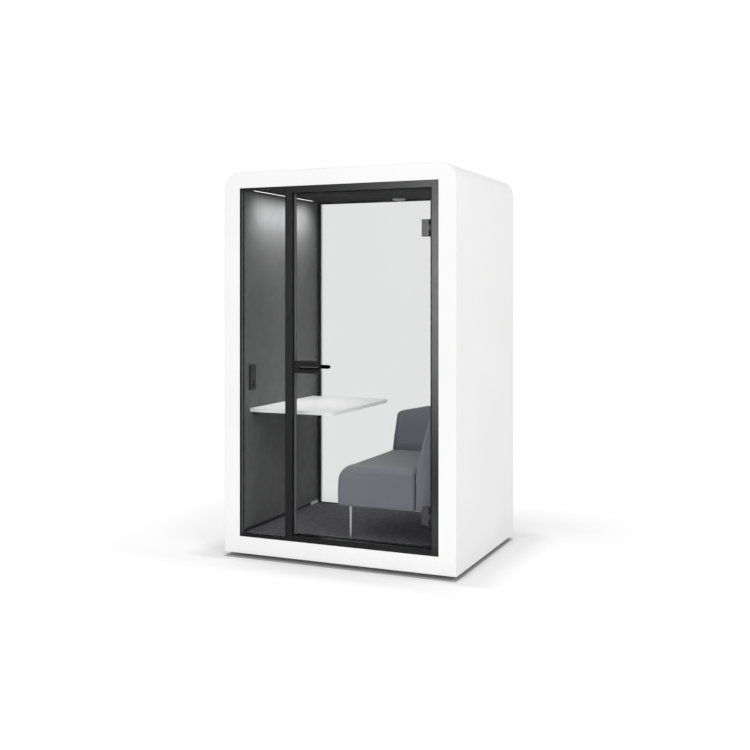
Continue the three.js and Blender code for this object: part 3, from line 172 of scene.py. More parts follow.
WOOL = Finish("acoustic_wool", (0.42, 0.39, 0.3), 1.0, Grain.FELT, specular=0.1, tone=0.3, depth=0.0015)
PANE = GlassFinish("clear_glass", (0.87, 0.874, 0.872), 1.06)
OPAL = LampFinish("led_opal", (1.0, 0.99, 0.975), 1.7)

FRONT_FRAMES = ("mullion", "door_head", "door_jamb", "door_sill", "sidelight_channel")
HINGE_CLAMPS = ("hinge_clamp_upper", "hinge_clamp_lower")
LOCK_COVERS = ("lock_cover_outer", "lock_cover_inner")
FEET = tuple(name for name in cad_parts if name.startswith("foot_"))


def scaled(colour: Colour, factor: float) -> Colour:
    """Gives a colour that is lighter or darker by a factor."""
    return tuple(factor * channel for channel in colour)


class Nodes:
    """A small helper round one material's or world's node tree."""

    def __init__(self, tree: bpy.types.NodeTree) -> None:
        """Clears the tree.

        Args:
            tree: the node tree to fill.
        """
        self.tree = tree
        tree.nodes.clear()

    def add(self, kind: str, **values: object) -> bpy.types.Node:
        """Adds a node and sets its properties and input values.

        Args:
            kind: the node's type name.
            values: property names, or input names with spaces as underscores.

        Returns:
            The new node.
        """
        node = self.tree.nodes.new(kind)
        for key, value in values.items():
            if hasattr(node, key):
                setattr(node, key, value)
            else:
                node.inputs[key.replace("_", " ")].default_value = value
        return node

    def link(self, source: Socket, target: Socket) -> None:
        """Joins an output to an input."""
        self.tree.links.new(source, target)

    def feed(self, value: Socket | float, target: Socket) -> None:
        """Gives an input another node's output or a number.

        Args:
            value: the output or the number.
            target: the input.
        """
        if isinstance(value, Socket):
            self.link(value, target)
        else:
            target.default_value = value

    def close(self, shader: Socket, kind: str = "ShaderNodeOutputMaterial") -> None:
        """Joins a shader to the tree's output, which it adds."""
        self.link(shader, self.add(kind).inputs["Surface"])

    def place(self, space: str = "Object") -> Socket:
        """Gives the coordinates of the point that is shaded."""
        return self.add("ShaderNodeTexCoord").outputs[space]

    def split(self, vector: Socket) -> list[Socket]:
        """Takes a vector apart.

        Args:
            vector: the vector.

        Returns:
            Its X, Y and Z.
        """
        node = self.add("ShaderNodeSeparateXYZ")
        self.link(vector, node.inputs[0])
        return list(node.outputs)

    def math(self, operation: str, first: Socket | float, second: Socket | float = 0.0) -> Socket:
        """Adds a math node.

        Args:
            operation: the operation's name.
            first: a socket or a number.
            second: a socket or a number, which some operations don't use.

        Returns:
            The node's output.
        """
        node = self.add("ShaderNodeMath", operation=operation)
        self.feed(first, node.inputs[0])
        self.feed(second, node.inputs[1])
        return node.outputs[0]

    def blend(self, first: Socket, second: Socket, share: float) -> Socket:
        """Adds two values up by their shares.

        Args:
            first: one value.
            second: the other value.
            share: the first value's share, from 0 to 1.

        Returns:
            The sum.
        """
        parts = [self.math("MULTIPLY", first, share), self.math("MULTIPLY", second, 1.0 - share)]
        return self.math("ADD", *parts)

    def noise(self, where: Socket, scale: float, detail: float = 3.0) -> Socket:
        """Adds a noise texture.

        Args:
            where: the texture coordinates.
            scale: how many features there are to a metre.
            detail: how many finer layers are added.

        Returns:
            The noise value.
        """
        node = self.add("ShaderNodeTexNoise", Scale=scale, Detail=detail)
        self.link(where, node.inputs["Vector"])
        return node.outputs["Fac"]

    def stretched(self, where: Socket, scale: Point, detail: float) -> Socket:
        """Adds a noise texture with a different scale along each axis.

        Args:
            where: the texture coordinates.
            scale: how many features there are to a metre along X, Y and Z.
            detail: how many finer layers are added.

        Returns:
            The noise value.
        """
        node = self.add("ShaderNodeMapping", Scale=scale)
        self.link(where, node.inputs["Vector"])
        return self.noise(node.outputs["Vector"], 1.0, detail)

    def cells(self, where: Socket, scale: float) -> bpy.types.Node:
        """Adds a texture of round cells.

        Args:
            where: the texture coordinates.
            scale: how many cells there are to a metre.

        Returns:
            The texture's node.
        """
        node = self.add("ShaderNodeTexVoronoi", Scale=scale)
        self.link(where, node.inputs["Vector"])
        return node

    def ramp(self, value: Socket, low: Colour, high: Colour, stops: Span = (0.0, 1.0)) -> Socket:
        """Adds a ramp between two colours.

        Args:
            value: what picks the colour.
            low: the colour at the first stop.
            high: the colour at the second stop.
            stops: the values at which the ramp starts and ends.

        Returns:
            The colour.
        """
        node = self.add("ShaderNodeValToRGB")
        for element, colour, stop in zip(node.color_ramp.elements, (low, high), stops):
            element.color = (*colour, 1.0)
            element.position = stop
        self.link(value, node.inputs[0])
        return node.outputs[0]

    def eased(self, value: Socket, reach: Span, low: float = 0.0, high: float = 1.0) -> Socket:
        """Eases from one level to another.

        Args:
            value: what the level follows.
            reach: the values between which the level changes.
            low: the level before that.
            high: the level after that.

        Returns:
            The level.
        """
        node = self.add("ShaderNodeMapRange", interpolation_type="SMOOTHSTEP", From_Min=reach[0],
                        From_Max=reach[1], To_Min=low, To_Max=high)
        self.link(value, node.inputs["Value"])
        return node.outputs[0]

    def glow(self, strength: Socket | float) -> Socket:
        """Adds a white light of some strength.

        Args:
            strength: a socket or a number.

        Returns:
            The shader.
        """
        node = self.add("ShaderNodeEmission", Color=WHITE)
        self.feed(strength, node.inputs["Strength"])
        return node.outputs[0]

    def mix(self, share: Socket, first: Socket, second: Socket) -> Socket:
        """Mixes two shaders.

        Args:
            share: the second shader's share.
            first: the shader at 0.
            second: the shader at 1.

        Returns:
            The mixed shader.
        """
        node = self.add("ShaderNodeMixShader")
        for target, source in zip(node.inputs, (share, first, second)):
            self.link(source, target)
        return node.outputs[0]


@dataclass
class GrainMaker:
    """Makes the relief and the tone of each grain. A plain scale is in features to a metre."""

    nodes: Nodes
    where: Socket
    peel: float = 900.0
    peel_drift: float = 2.2
    spark: float = 1600.0
    spark_drift: float = 25.0
    scratches: Point = (900.0, 900.0, 12.0)
    fibres_across: Point = (700.0, 700.0, 160.0)
    fibres_along: Point = (160.0, 160.0, 700.0)
    fibre_clouds: float = 16.0
    fibre_share: float = 0.65
    loops: float = 240.0
    loop_drift: float = 40.0
    loop_share: float = 0.5
    yarn_pitch: float = 0.0026
    yarn_height: float = 0.25
    fuzz: float = 900.0
    mottle: float = 420.0
    mottle_drift: float = 7.0
    mottle_share: float = 0.7
    pearl: float = 500.0
    pearl_drift: float = 6.0
    streaks: Point = (4.0, 90.0, 400.0)
    bloom: float = 1200.0
    bloom_drift: float = 60.0

    def make(self, grain: Grain) -> Relief:
        """Makes a grain.

        Args:
            grain: the grain wanted.

        Returns:
            Its relief and its tone.
        """
        makers: dict[Grain, Callable[[], Relief]] = {
            Grain.POWDER: self._powder, Grain.PLASTIC: self._plastic, Grain.BRUSHED: self._brushed,
            Grain.FELT: self._felt, Grain.CARPET: self._carpet, Grain.WEAVE: self._weave,
            Grain.BOARD: self._board, Grain.WOOD: self._wood, Grain.RUBBER: self._rubber,
        }
        return makers[grain]()

    def _noise(self, scale: float, detail: float = 3.0) -> Socket:
        """Gives noise at the shaded point."""
        return self.nodes.noise(self.where, scale, detail)

    def _powder(self) -> Relief:
        """Gives fine orange peel with a slow drift in tone."""
        return self._noise(self.peel, detail=2.0), self._noise(self.peel_drift, detail=2.0)

    def _plastic(self) -> Relief:
        """Gives the spark-eroded grain of a mould."""
        return self.nodes.cells(self.where, self.spark).outputs["Distance"], self._noise(self.spark_drift)

    def _brushed(self) -> Relief:
        """Gives long fine scratches along Z."""
        lines = self.nodes.stretched(self.where, self.scratches, detail=4.0)
        return lines, lines

    def _felt(self) -> Relief:
        """Makes matted fibres lying every way, with soft clouds of tone.

        Returns:
            The relief and the tone.
        """
        across = self.nodes.stretched(self.where, self.fibres_across, detail=5.0)
        along = self.nodes.stretched(self.where, self.fibres_along, detail=5.0)
        fibres = self.nodes.math("MAXIMUM", across, along)
        return fibres, self.nodes.blend(fibres, self._noise(self.fibre_clouds, detail=4.0), self.fibre_share)

    def _carpet(self) -> Relief:
        """Makes loops of yarn, each a little lighter or darker.

        Returns:
            The relief and the tone.
        """
        loops = self.nodes.cells(self.where, self.loops)
        relief = self.nodes.math("SUBTRACT", 1.0, loops.outputs["Distance"])
        each = self.nodes.add("ShaderNodeSeparateColor")
        self.nodes.link(loops.outputs["Color"], each.inputs[0])
        return relief, self.nodes.blend(each.outputs[0], self._noise(self.loop_drift), self.loop_share)

    def _weave(self) -> Relief:
        """Makes the warp and weft of a wool cloth, with mottled yarn.

        Returns:
            The relief and the tone.
        """
        nodes = self.nodes
        rate = 2.0 * math.pi / self.yarn_pitch
        waves = [nodes.math("SINE", nodes.math("MULTIPLY", axis, rate)) for axis in nodes.split(self.where)]
        pairs = [nodes.math("MULTIPLY", waves[i], waves[(i + 1) % len(waves)]) for i in AXES]
        cloth = nodes.math("ADD", nodes.math("ADD", pairs[0], pairs[1]), pairs[2])
        relief = nodes.math("ADD", nodes.math("MULTIPLY", cloth, self.yarn_height), self._noise(self.fuzz))
        return relief, nodes.blend(self._noise(self.mottle, detail=4.0), self._noise(self.mottle_drift),
                                   self.mottle_share)

    def _board(self) -> Relief:
        """Gives the soft pearl of a matt laminate."""
        return self._noise(self.pearl), self._noise(self.pearl_drift)

    def _wood(self) -> Relief:
        """Gives streaks of birch along X."""
        streaks = self.nodes.stretched(self.where, self.streaks, detail=5.0)
        return streaks, streaks

    def _rubber(self) -> Relief:
        """Gives the dull bloom on soft rubber."""
        return self._noise(self.bloom, detail=2.0), self._noise(self.bloom_drift)


@dataclass
class FinishShop:
    """Makes each finish's material once and hands it out."""

    made: dict[str, bpy.types.Material] = field(default_factory=dict)
    tone_stops: Span = (0.3, 0.7)
    gloss_range: Span = (0.9, 1.1)
    gloss_drift: float = 14.0
    sheen_roughness: float = 0.5
    relief_strength: float = 0.6

    def material(self, finish: AnyFinish) -> bpy.types.Material:
        """Gives the material of a finish.

        Args:
            finish: the finish wanted.

        Returns:
            Its material, made on first use.
        """
        if finish.name not in self.made:
            material = bpy.data.materials.new(finish.name)
            material.use_nodes = True
            nodes = Nodes(material.node_tree)
            if isinstance(finish, GlassFinish):
                self._glass(nodes, finish)
            elif isinstance(finish, LampFinish):
                self._lamp(nodes, finish)
            else:
                self._solid(nodes, finish)
            self.made[finish.name] = material
        return self.made[finish.name]

    def _glass(self, nodes: Nodes, finish: GlassFinish) -> None:
        """Builds a clear pane that lets lamp light through.

        Args:
            nodes: the material's nodes.
            finish: the pane's finish.
        """
        film = nodes.noise(nodes.place(), finish.film_scale)
        shader = nodes.add("ShaderNodeBsdfPrincipled", Base_Color=(*finish.tint, 1.0), IOR=finish.ior,
                           Transmission_Weight=1.0)
        nodes.link(nodes.math("MULTIPLY", film, finish.film), shader.inputs["Roughness"])
        one_face = (math.sqrt(channel) for channel in finish.tint)
        clear = nodes.add("ShaderNodeBsdfTransparent", Color=(*one_face, 1.0))
        shadow = nodes.add("ShaderNodeLightPath").outputs["Is Shadow Ray"]
        nodes.close(nodes.mix(shadow, shader.outputs[0], clear.outputs[0]))

    def _lamp(self, nodes: Nodes, finish: LampFinish) -> None:
        """Builds a lit opal strip.

        Args:
            nodes: the material's nodes.
            finish: the strip's finish.
        """
        clouds = nodes.noise(nodes.place(), finish.cloud_scale)
        colour = nodes.ramp(clouds, scaled(finish.colour, finish.fall_off), finish.colour)
        shader = nodes.add("ShaderNodeBsdfPrincipled", Roughness=finish.roughness,
                           Emission_Strength=finish.strength)
        for name in ("Base Color", "Emission Color"):
            nodes.link(colour, shader.inputs[name])
        nodes.close(shader.outputs[0])

    def _solid(self, nodes: Nodes, finish: Finish) -> None:
        """Builds an opaque finish with its grain in colour, gloss and relief.

        Args:
            nodes: the material's nodes.
            finish: the finish.
        """
        where = nodes.place()
        height, tone = GrainMaker(nodes, where).make(finish.grain)
        colour = nodes.ramp(tone, scaled(finish.colour, 1.0 - finish.tone),
                            scaled(finish.colour, 1.0 + finish.tone), self.tone_stops)
        shader = nodes.add("ShaderNodeBsdfPrincipled", Metallic=finish.metallic,
                           Specular_IOR_Level=finish.specular, Sheen_Weight=finish.sheen,
                           Sheen_Roughness=self.sheen_roughness)
        nodes.link(colour, shader.inputs["Base Color"])
        least, most = self.gloss_range
        gloss = nodes.add("ShaderNodeMapRange", To_Min=finish.roughness * least,
                          To_Max=min(1.0, finish.roughness * most))
        nodes.link(nodes.noise(where, self.gloss_drift), gloss.inputs["Value"])
        nodes.link(gloss.outputs[0], shader.inputs["Roughness"])
        bump = nodes.add("ShaderNodeBump", Strength=self.relief_strength, Distance=finish.depth)
        nodes.link(height, bump.inputs["Height"])
        nodes.link(bump.outputs[0], shader.inputs["Normal"])
        nodes.close(shader.outputs[0])


SHOP = FinishShop()


def solids(*names: str) -> tuple[bpy.types.Object, ...]:
    """Gives the pod's solids of some names."""
    return tuple(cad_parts[name] for name in names)


def soften(piece: bpy.types.Object, width: float, segments: int = 2) -> None:
    """Rounds a piece's edges.

    Args:
        piece: the piece.
        width: the radius in metres.
        segments: how many faces the rounding has.
    """
    edge = piece.modifiers.new("soft_edge", "BEVEL")
    edge.width = width
    edge.segments = segments
    edge.limit_method = "ANGLE"
    edge.angle_limit = CREASE
    edge.harden_normals = True


def shade_smooth(piece: bpy.types.Object) -> None:
    """Shades a piece's faces smooth."""
    for face in piece.data.polygons:
        face.use_smooth = True


def dress(names: tuple[str, ...], finish: AnyFinish, edge: float = 0.0) -> None:
    """Gives solids of the pod a finish and, where wanted, softened edges.

    Args:
        names: the nodes to dress.
        finish: the finish they take.
        edge: the width of the softened edge in metres, or 0 for none.
    """
    for name, node in zip(names, solids(*names)):
        node.data.materials.clear()
        node.data.materials.append(SHOP.material(finish))
        shade_smooth(node)
        if edge > 0.0:
            soften(node, edge)
        else:
            node.modifiers.new("crisp_edge", "EDGE_SPLIT").split_angle = CREASE
        LOG.info("dressed %s in %s", name, finish.name)


def repaint(name: str, finish: Finish, chosen: Callable[[bpy.types.MeshPolygon], bool]) -> None:
    """Gives some faces of a solid a finish of their own.

    Args:
        name: the node.
        finish: the finish of those faces.
        chosen: tells whether a face is one of them.
    """
    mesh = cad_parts[name].data
    mesh.materials.append(SHOP.material(finish))
    for face in mesh.polygons:
        if chosen(face):
            face.material_index = len(mesh.materials) - 1


def looks_right(face: bpy.types.MeshPolygon) -> bool:
    """Tells whether a face looks to the pod's right."""
    return face.normal.dot(X_AXIS) > FACING


def is_pane_edge(face: bpy.types.MeshPolygon) -> bool:
    """Tells whether a face of a pane is on its ground edge."""
    return abs(face.normal.y) <= FACING


def add_piece(mesh: bpy.types.Mesh, body: str, finish: Finish) -> bpy.types.Object:
    """Adds a piece of the scene's own that rides on a body.

    Args:
        mesh: the piece's mesh, in metres in the pod's frame, which gives the piece its name.
        body: the body that it moves with.
        finish: its finish.

    Returns:
        The new object.
    """
    piece = bpy.data.objects.new(mesh.name, mesh)
    bpy.context.scene.collection.objects.link(piece)
    mesh.materials.append(SHOP.material(finish))
    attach(piece, body)
    LOG.info("made %s on %s", piece.name, body)
    return piece


def finished_mesh(shape: bmesh.types.BMesh, name: str) -> bpy.types.Mesh:
    """Turns a shape under construction into a mesh with its faces outwards.

    Args:
        shape: the shape, which is freed.
        name: the mesh's name.

    Returns:
        The mesh.
    """
    bmesh.ops.recalc_face_normals(shape, faces=shape.faces)
    mesh = bpy.data.meshes.new(name)
    shape.to_mesh(mesh)
    shape.free()
    return mesh


def boxes_mesh(name: str, spans: list[tuple[Point, Point]]) -> bpy.types.Mesh:
    """Makes one mesh of several boxes.

    Args:
        name: the mesh's name.
        spans: the lowest and the highest corner of each box.

    Returns:
        The mesh.
    """
    shape = bmesh.new()
    for low, high in spans:
        for vertex in bmesh.ops.create_cube(shape, size=1.0)["verts"]:
            vertex.co = Vector(low[i] if vertex.co[i] < 0.0 else high[i] for i in AXES)
    return finished_mesh(shape, name)


def strip_mesh(name: str, low: Point, high: Point, steps: int = 8) -> bpy.types.Mesh:
    """Makes a flat strip along X with round ends.

    Args:
        name: the mesh's name.
        low: the lowest corner of the box that it fills.
        high: the highest corner of that box.
        steps: how many faces each round end has.

    Returns:
        The mesh.
    """
    radius = (high[2] - low[2]) / 2.0
    shape = bmesh.new()
    outline = []
    for centre, first in ((high[0] - radius, -90.0), (low[0] + radius, 90.0)):
        for step in range(steps + 1):
            angle = math.radians(first + 180.0 * step / steps)
            spot = (centre + radius * math.cos(angle), low[1], low[2] + radius + radius * math.sin(angle))
            outline.append(shape.verts.new(spot))
    front = shape.faces.new(outline)
    for part in bmesh.ops.extrude_face_region(shape, geom=[front])["geom"]:
        if isinstance(part, bmesh.types.BMVert):
            part.co.y = high[1]
    return finished_mesh(shape, name)


def turned_mesh(name: str, profile: list[Span], centre: Point, axis: Vector,
                sides: int = 40) -> bpy.types.Mesh:
    """Turns a profile round an axis.

    Args:
        name: the mesh's name.
        profile: radius and height of each point, from the axis out and back to it.
        centre: where height 0 lies.
        axis: the direction of the height.
        sides: how many steps the turn has.

    Returns:
        The mesh.
    """
    turn = axis.to_track_quat("Z", "Y")
    shape = bmesh.new()
    rings: list[list[bmesh.types.BMVert]] = []
    for radius, height in profile:
        ring = []
        for step in range(sides if radius > 0.0 else 1):
            angle = 2.0 * math.pi * step / sides
            spot = Vector((radius * math.cos(angle), radius * math.sin(angle), height))
            ring.append(shape.verts.new(Vector(centre) + turn @ spot))
        rings.append(ring)
    for lower, upper in zip(rings, rings[1:]):
        for step in range(sides):
            corners = [lower[step % len(lower)], lower[(step + 1) % len(lower)],
                       upper[(step + 1) % len(upper)], upper[step % len(upper)]]
            shape.faces.new(list(dict.fromkeys(corners)))
    return finished_mesh(shape, name)


@dataclass(frozen=True)
class AreaLamp:
    """A rectangular lamp, the only pieces that it lights, if any, and the rays that don't see it."""

    name: str
    place: Point
    target: Point
    size: Span
    power: float
    spread: float = 180.0
    only: tuple[bpy.types.Object, ...] = ()
    hidden: tuple[Ray, ...] = ()

    def hang(self) -> bpy.types.Object:
        """Hangs the lamp.

        Returns:
            The lamp.
        """
        data = bpy.data.lights.new(self.name, "AREA")
        data.shape = "RECTANGLE"
        data.size, data.size_y = self.size
        data.energy = self.power
        data.spread = math.radians(self.spread)
        lamp = bpy.data.objects.new(self.name, data)
        lamp.location = self.place
        aim = Vector(self.target) - Vector(self.place)
        lamp.rotation_euler = aim.to_track_quat("-Z", "Y").to_euler()
        bpy.context.scene.collection.objects.link(lamp)
        if self.only:
            lit = bpy.data.collections.new(f"lit_by_{self.name}")
            for piece in self.only:
                lit.objects.link(piece)
            lamp.light_linking.receiver_collection = lit
        for ray in self.hidden:
            setattr(lamp, ray.value, False)
        LOG.info("hung %s", self.name)
        return lamp


# What a lamp is hidden from when only gloss shows it, or only matt surfaces.
GLOSS_ONLY = (Ray.CAMERA, Ray.TRANSMISSION, Ray.DIFFUSE)
DIFFUSE_ONLY = (Ray.CAMERA, Ray.TRANSMISSION, Ray.GLOSSY)


def under(place: Point, hair: float = 0.001) -> Point:
    """Gives the floor point under a lamp, a hair further back to set how the lamp is turned."""
    return place[0], place[1] + hair, 0.0


@dataclass
class Studio:
    """Camera, lamps, white surroundings and floor."""

    camera_place: Point = (2.6099, -5.9947, 1.5752)
    camera_turn: float = 23.40
    lens: float = 50.51
    lens_shift: float = -0.1087
    sensor: float = 36.0
    sky: float = 0.76
    mirror_sky: float = 0.25
    mirror_zenith: float = 1.3
    mirror_rise: Span = (0.3, 0.85)
    floor_half: float = 60.0
    floor_tone: Colour = (0.955, 0.955, 0.955)
    floor_drift: float = 0.995
    floor_clouds: float = 1.5
    # The floor glows more, up to this level and across this reach, the further it lies from the pod: painted
    # light that leaves painted shade near the pod.
    floor_painted_light: float = 0.15
    floor_mirror: float = 0.3
    footprint: Span = (0.735, 0.559)
    painted_light_reach: Span = (0.09, 0.32)
    # Under the footprint, and this far past it, the floor's colour is darkened to this share: a painted
    # contact shadow.
    painted_shadow_reach: float = 0.004
    painted_shadow_tone: float = 0.55
    front_rate: float = 3.5
    fade_reach: Span = (0.3, 1.15)

    def build(self) -> None:
        """Sets up everything that isn't the pod."""
        scene = bpy.context.scene
        scene.view_settings.view_transform = "Standard"
        self._camera(scene)
        self._world(scene)
        self._floor(scene)
        self._lamps()

    def _camera(self, scene: bpy.types.Scene) -> None:
        """Places the camera at the photograph's viewpoint.

        Args:
            scene: the scene that it looks at.
        """
        data = bpy.data.cameras.new("camera")
        data.lens = self.lens
        data.sensor_width = self.sensor
        data.shift_y = self.lens_shift
        camera = bpy.data.objects.new("camera", data)
        camera.location = self.camera_place
        camera.rotation_euler = (math.radians(90.0), 0.0, math.radians(self.camera_turn))
        scene.collection.objects.link(camera)
        scene.camera = camera

    def _world(self, scene: bpy.types.Scene) -> None:
        """Makes surroundings that are white to the eye, softer as light and graded in mirrors.

        Args:
            scene: the scene that they surround.
        """
        world = bpy.data.worlds.new("studio")
        world.use_nodes = True
        scene.world = world
        nodes = Nodes(world.node_tree)
        path = nodes.add("ShaderNodeLightPath").outputs
        seen = nodes.math("MAXIMUM", path["Is Camera Ray"], path["Is Transmission Ray"])
        level = nodes.math("ADD", nodes.math("MULTIPLY", seen, 1.0 - self.sky), self.sky)
        height = nodes.split(nodes.place("Generated"))[2]
        mirrored = nodes.eased(height, self.mirror_rise, low=self.mirror_sky - self.sky,
                               high=self.mirror_zenith - self.sky)
        change = nodes.math("MULTIPLY", path["Is Glossy Ray"], mirrored)
        unseen = nodes.math("SUBTRACT", 1.0, seen)
        strength = nodes.math("ADD", level, nodes.math("MULTIPLY", change, unseen))
        light = nodes.add("ShaderNodeBackground", Color=WHITE)
        nodes.link(strength, light.inputs["Strength"])
        nodes.close(light.outputs[0], "ShaderNodeOutputWorld")

    def _floor(self, scene: bpy.types.Scene) -> None:
        """Lays a wide pale floor.

        Args:
            scene: the scene that it lies in.
        """
        reach = self.floor_half
        corners = [(-reach, -reach, 0.0), (reach, -reach, 0.0), (reach, reach, 0.0), (-reach, reach, 0.0)]
        mesh = bpy.data.meshes.new("floor")
        mesh.from_pydata(corners, [], [range(len(corners))])
        floor = bpy.data.objects.new("floor", mesh)
        scene.collection.objects.link(floor)
        mesh.materials.append(self._floor_material())

    def _floor_material(self) -> bpy.types.Material:
        """Makes a floor that keeps the pod's shadow near it and is white further off. Under the pod's
        footprint it is darkened as a painted contact shadow, and its glow grows away from the pod, painted
        light that leaves painted shade near it.

        Returns:
            The material.
        """
        material = bpy.data.materials.new("studio_floor")
        material.use_nodes = True
        nodes = Nodes(material.node_tree)
        where = nodes.place()
        away = self._distance(nodes, where)
        pale = nodes.ramp(nodes.noise(where, self.floor_clouds), scaled(self.floor_tone, self.floor_drift),
                          self.floor_tone)
        # The floor's colour is darkened under the pod's footprint: a painted contact shadow.
        shade = nodes.add("ShaderNodeVectorMath", operation="SCALE")
        nodes.link(pale, shade.inputs["Vector"])
        nodes.link(nodes.eased(away, (0.0, self.painted_shadow_reach), low=self.painted_shadow_tone), shade.inputs["Scale"])
        matt = nodes.add("ShaderNodeBsdfDiffuse")
        nodes.link(shade.outputs["Vector"], matt.inputs["Color"])
        # A glow that grows away from the pod: painted light, leaving painted shade close to it.
        painted_lit = nodes.add("ShaderNodeAddShader")
        nodes.link(matt.outputs[0], painted_lit.inputs[0])
        nodes.link(nodes.glow(nodes.eased(away, self.painted_light_reach, high=self.floor_painted_light)), painted_lit.inputs[1])
        faded = nodes.mix(nodes.eased(away, self.fade_reach), painted_lit.outputs[0], nodes.glow(1.0))
        path = nodes.add("ShaderNodeLightPath").outputs
        opaque = nodes.math("SUBTRACT", 1.0, path["Is Transmission Ray"])
        mirrored = nodes.math("MULTIPLY", path["Is Glossy Ray"], opaque)
        nodes.close(nodes.mix(mirrored, faded, nodes.glow(self.floor_mirror)))
        return material

    def _distance(self, nodes: Nodes, where: Socket) -> Socket:
        """Measures how far a point on the floor lies from the pod's footprint.

        Args:
            nodes: the tree to add to.
            where: the point.

        Returns:
            The distance in metres, which grows quicker in front.
        """
        spot = nodes.split(where)
        # Growing quicker in front keeps the painted contact shadow and the painted shade narrower in front of
        # the pod.
        ahead = nodes.math("LESS_THAN", spot[1], 0.0)
        quicker = nodes.math("ADD", nodes.math("MULTIPLY", ahead, self.front_rate - 1.0), 1.0)
        beyond = nodes.add("ShaderNodeCombineXYZ")
        for i, (half, rate) in enumerate(zip(self.footprint, (1.0, quicker))):
            past = nodes.math("SUBTRACT", nodes.math("ABSOLUTE", spot[i]), half)
            nodes.link(nodes.math("MULTIPLY", nodes.math("MAXIMUM", past, 0.0), rate), beyond.inputs[i])
        length = nodes.add("ShaderNodeVectorMath", operation="LENGTH")
        nodes.link(beyond.outputs[0], length.inputs[0])
        return length.outputs["Value"]

    @staticmethod
    def _lamps() -> None:
        """Hangs a key in front, a fill at the right, and lamps for the frames' gloss and the front border."""
        for lamp in (
            AreaLamp("key", place=(-1.2, -6.0, 2.4), target=(0.3, -0.5, 1.4), size=(1.6, 1.6), power=18.0),
            AreaLamp("fill", place=(4.5, -4.0, 5.0), target=(0.0, 0.0, 1.0), size=(2.5, 2.5), power=85.0),
            AreaLamp("gloss", place=(-0.85, -6.0, 1.6), target=(0.61, -0.54, 1.6), size=(1.0, 2.4),
                     power=165.0, only=solids(*FRONT_FRAMES, *HINGE_CLAMPS), hidden=GLOSS_ONLY),
            AreaLamp("low_gloss", place=(0.38, -1.15, 0.14), target=(0.61, -0.54, 0.2), size=(0.4, 0.26),
                     power=0.5, only=solids("door_jamb"), hidden=GLOSS_ONLY),
            AreaLamp("front_bounce", place=(0.1, -1.6, 0.12), target=(0.1, -0.5, 0.12), size=(1.6, 0.2),
                     power=1.2, only=solids("front_surround"), hidden=DIFFUSE_ONLY),
        ):
            lamp.hang()


@dataclass(frozen=True)
class Coat:
    """Solids that share a finish and the width of their softened edges in metres."""

    finish: AnyFinish
    names: tuple[str, ...]
    edge: float = 0.0


@dataclass
class SubAssembly:
    """A group of the pod's pieces."""

    coats: tuple[Coat, ...] = ()

    def dress(self) -> None:
        """Gives the group's solids their finishes."""
        for coat in self.coats:
            dress(coat.names, coat.finish, coat.edge)

    def build(self) -> None:
        """Adds the pieces and lamps of the scene's own, where the group has them."""


@dataclass
class Shell(SubAssembly):
    """The white outside: shell, surrounds, roof vent and feet."""

    coats: tuple[Coat, ...] = (
        Coat(WHITE_LACQUER, ("outer_shell", "front_surround", "back_surround"), edge=0.0006),
        Coat(WHITE_LACQUER, ("roof_vent_grille",), edge=0.0006),
        Coat(ZINC, ("base_tray",)),
        Coat(RUBBER, FEET, edge=0.001),
        Coat(BLACK_PLASTIC, ("mains_inlet",), edge=0.0005),
    )


@dataclass
class Glazing(SubAssembly):
    """Fixed frames, panes and their gaskets."""

    coats: tuple[Coat, ...] = (
        Coat(ANTHRACITE, FRONT_FRAMES, edge=0.001),
        Coat(MATT_ANTHRACITE, ("back_frame",), edge=0.001),
        Coat(PANE, ("sidelight_glass", "back_glass")),
        Coat(RUBBER, ("door_stop_seal",), edge=0.0008),
        Coat(DARK_ZINC, ("strike_plate",), edge=0.0004),
    )
    bead: float = 0.002
    bead_gap: float = 0.0002
    bead_rounding: float = 0.3
    frame_face: float = 0.014
    keeper_reach: float = 0.03
    keeper_sink: float = 0.001

    def dress(self) -> None:
        """Finishes the frames and panes, and the faces that differ from the rest, among them the keeper
        recess in the mullion, painted lighter as painted light in its shade.
        """
        super().dress()
        repaint("sidelight_channel", WALL_FELT, looks_right)
        # The keeper recess's faces are painted lighter: painted light in the recess's shade.
        repaint("mullion", KEEPER_PAINTED_LIGHT, self._in_keeper)
        for pane in ("sidelight_glass", "back_glass"):
            repaint(pane, PANE_EDGE, is_pane_edge)

    def _in_keeper(self, face: bpy.types.MeshPolygon) -> bool:
        """Tells whether a face of the mullion is inside the keeper's recess.

        Args:
            face: the face.

        Returns:
            True if it is at the latch's height and behind the mullion's front.
        """
        low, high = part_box("latch_bolt")
        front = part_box("mullion")[0].y
        level = low.z - self.keeper_reach < face.center.z < high.z + self.keeper_reach
        return level and face.center.y > front + self.keeper_sink

    def build(self) -> None:
        """Adds a rubber bead on both faces of each fixed pane."""
        low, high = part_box("sidelight_channel")
        closing = Vector((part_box("mullion")[0].x, high.y, high.z))
        self._beads("sidelight_gasket", "sidelight_glass", low, closing)
        low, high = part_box("back_frame")
        self._beads("back_gasket", "back_glass", low, high - self.frame_face * X_AXIS)

    def _beads(self, name: str, pane: str, low: Vector, high: Vector) -> None:
        """Lays beads along a pane's visible edges.

        Args:
            name: the piece's name.
            pane: the pane's node.
            low: the lowest corner of the frame round it.
            high: the highest corner of the frame, with X at the right edge of the pane's opening.
        """
        wide = self.bead
        left, right = low.x + self.frame_face, high.x
        bottom, top = low.z + self.frame_face, high.z - self.frame_face
        front, back = (corner.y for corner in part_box(pane))
        spans = []
        for near, far in ((front - wide, front - self.bead_gap), (back + self.bead_gap, back + wide)):
            spans += [
                ((left, near, bottom), (left + wide, far, top)),
                ((right - wide, near, bottom), (right, far, top)),
                ((left + wide, near, bottom), (right - wide, far, bottom + wide)),
                ((left + wide, near, top - wide), (right - wide, far, top)),
            ]
        piece = add_piece(boxes_mesh(name, spans), "root", RUBBER)
        shade_smooth(piece)
        soften(piece, wide * self.bead_rounding)


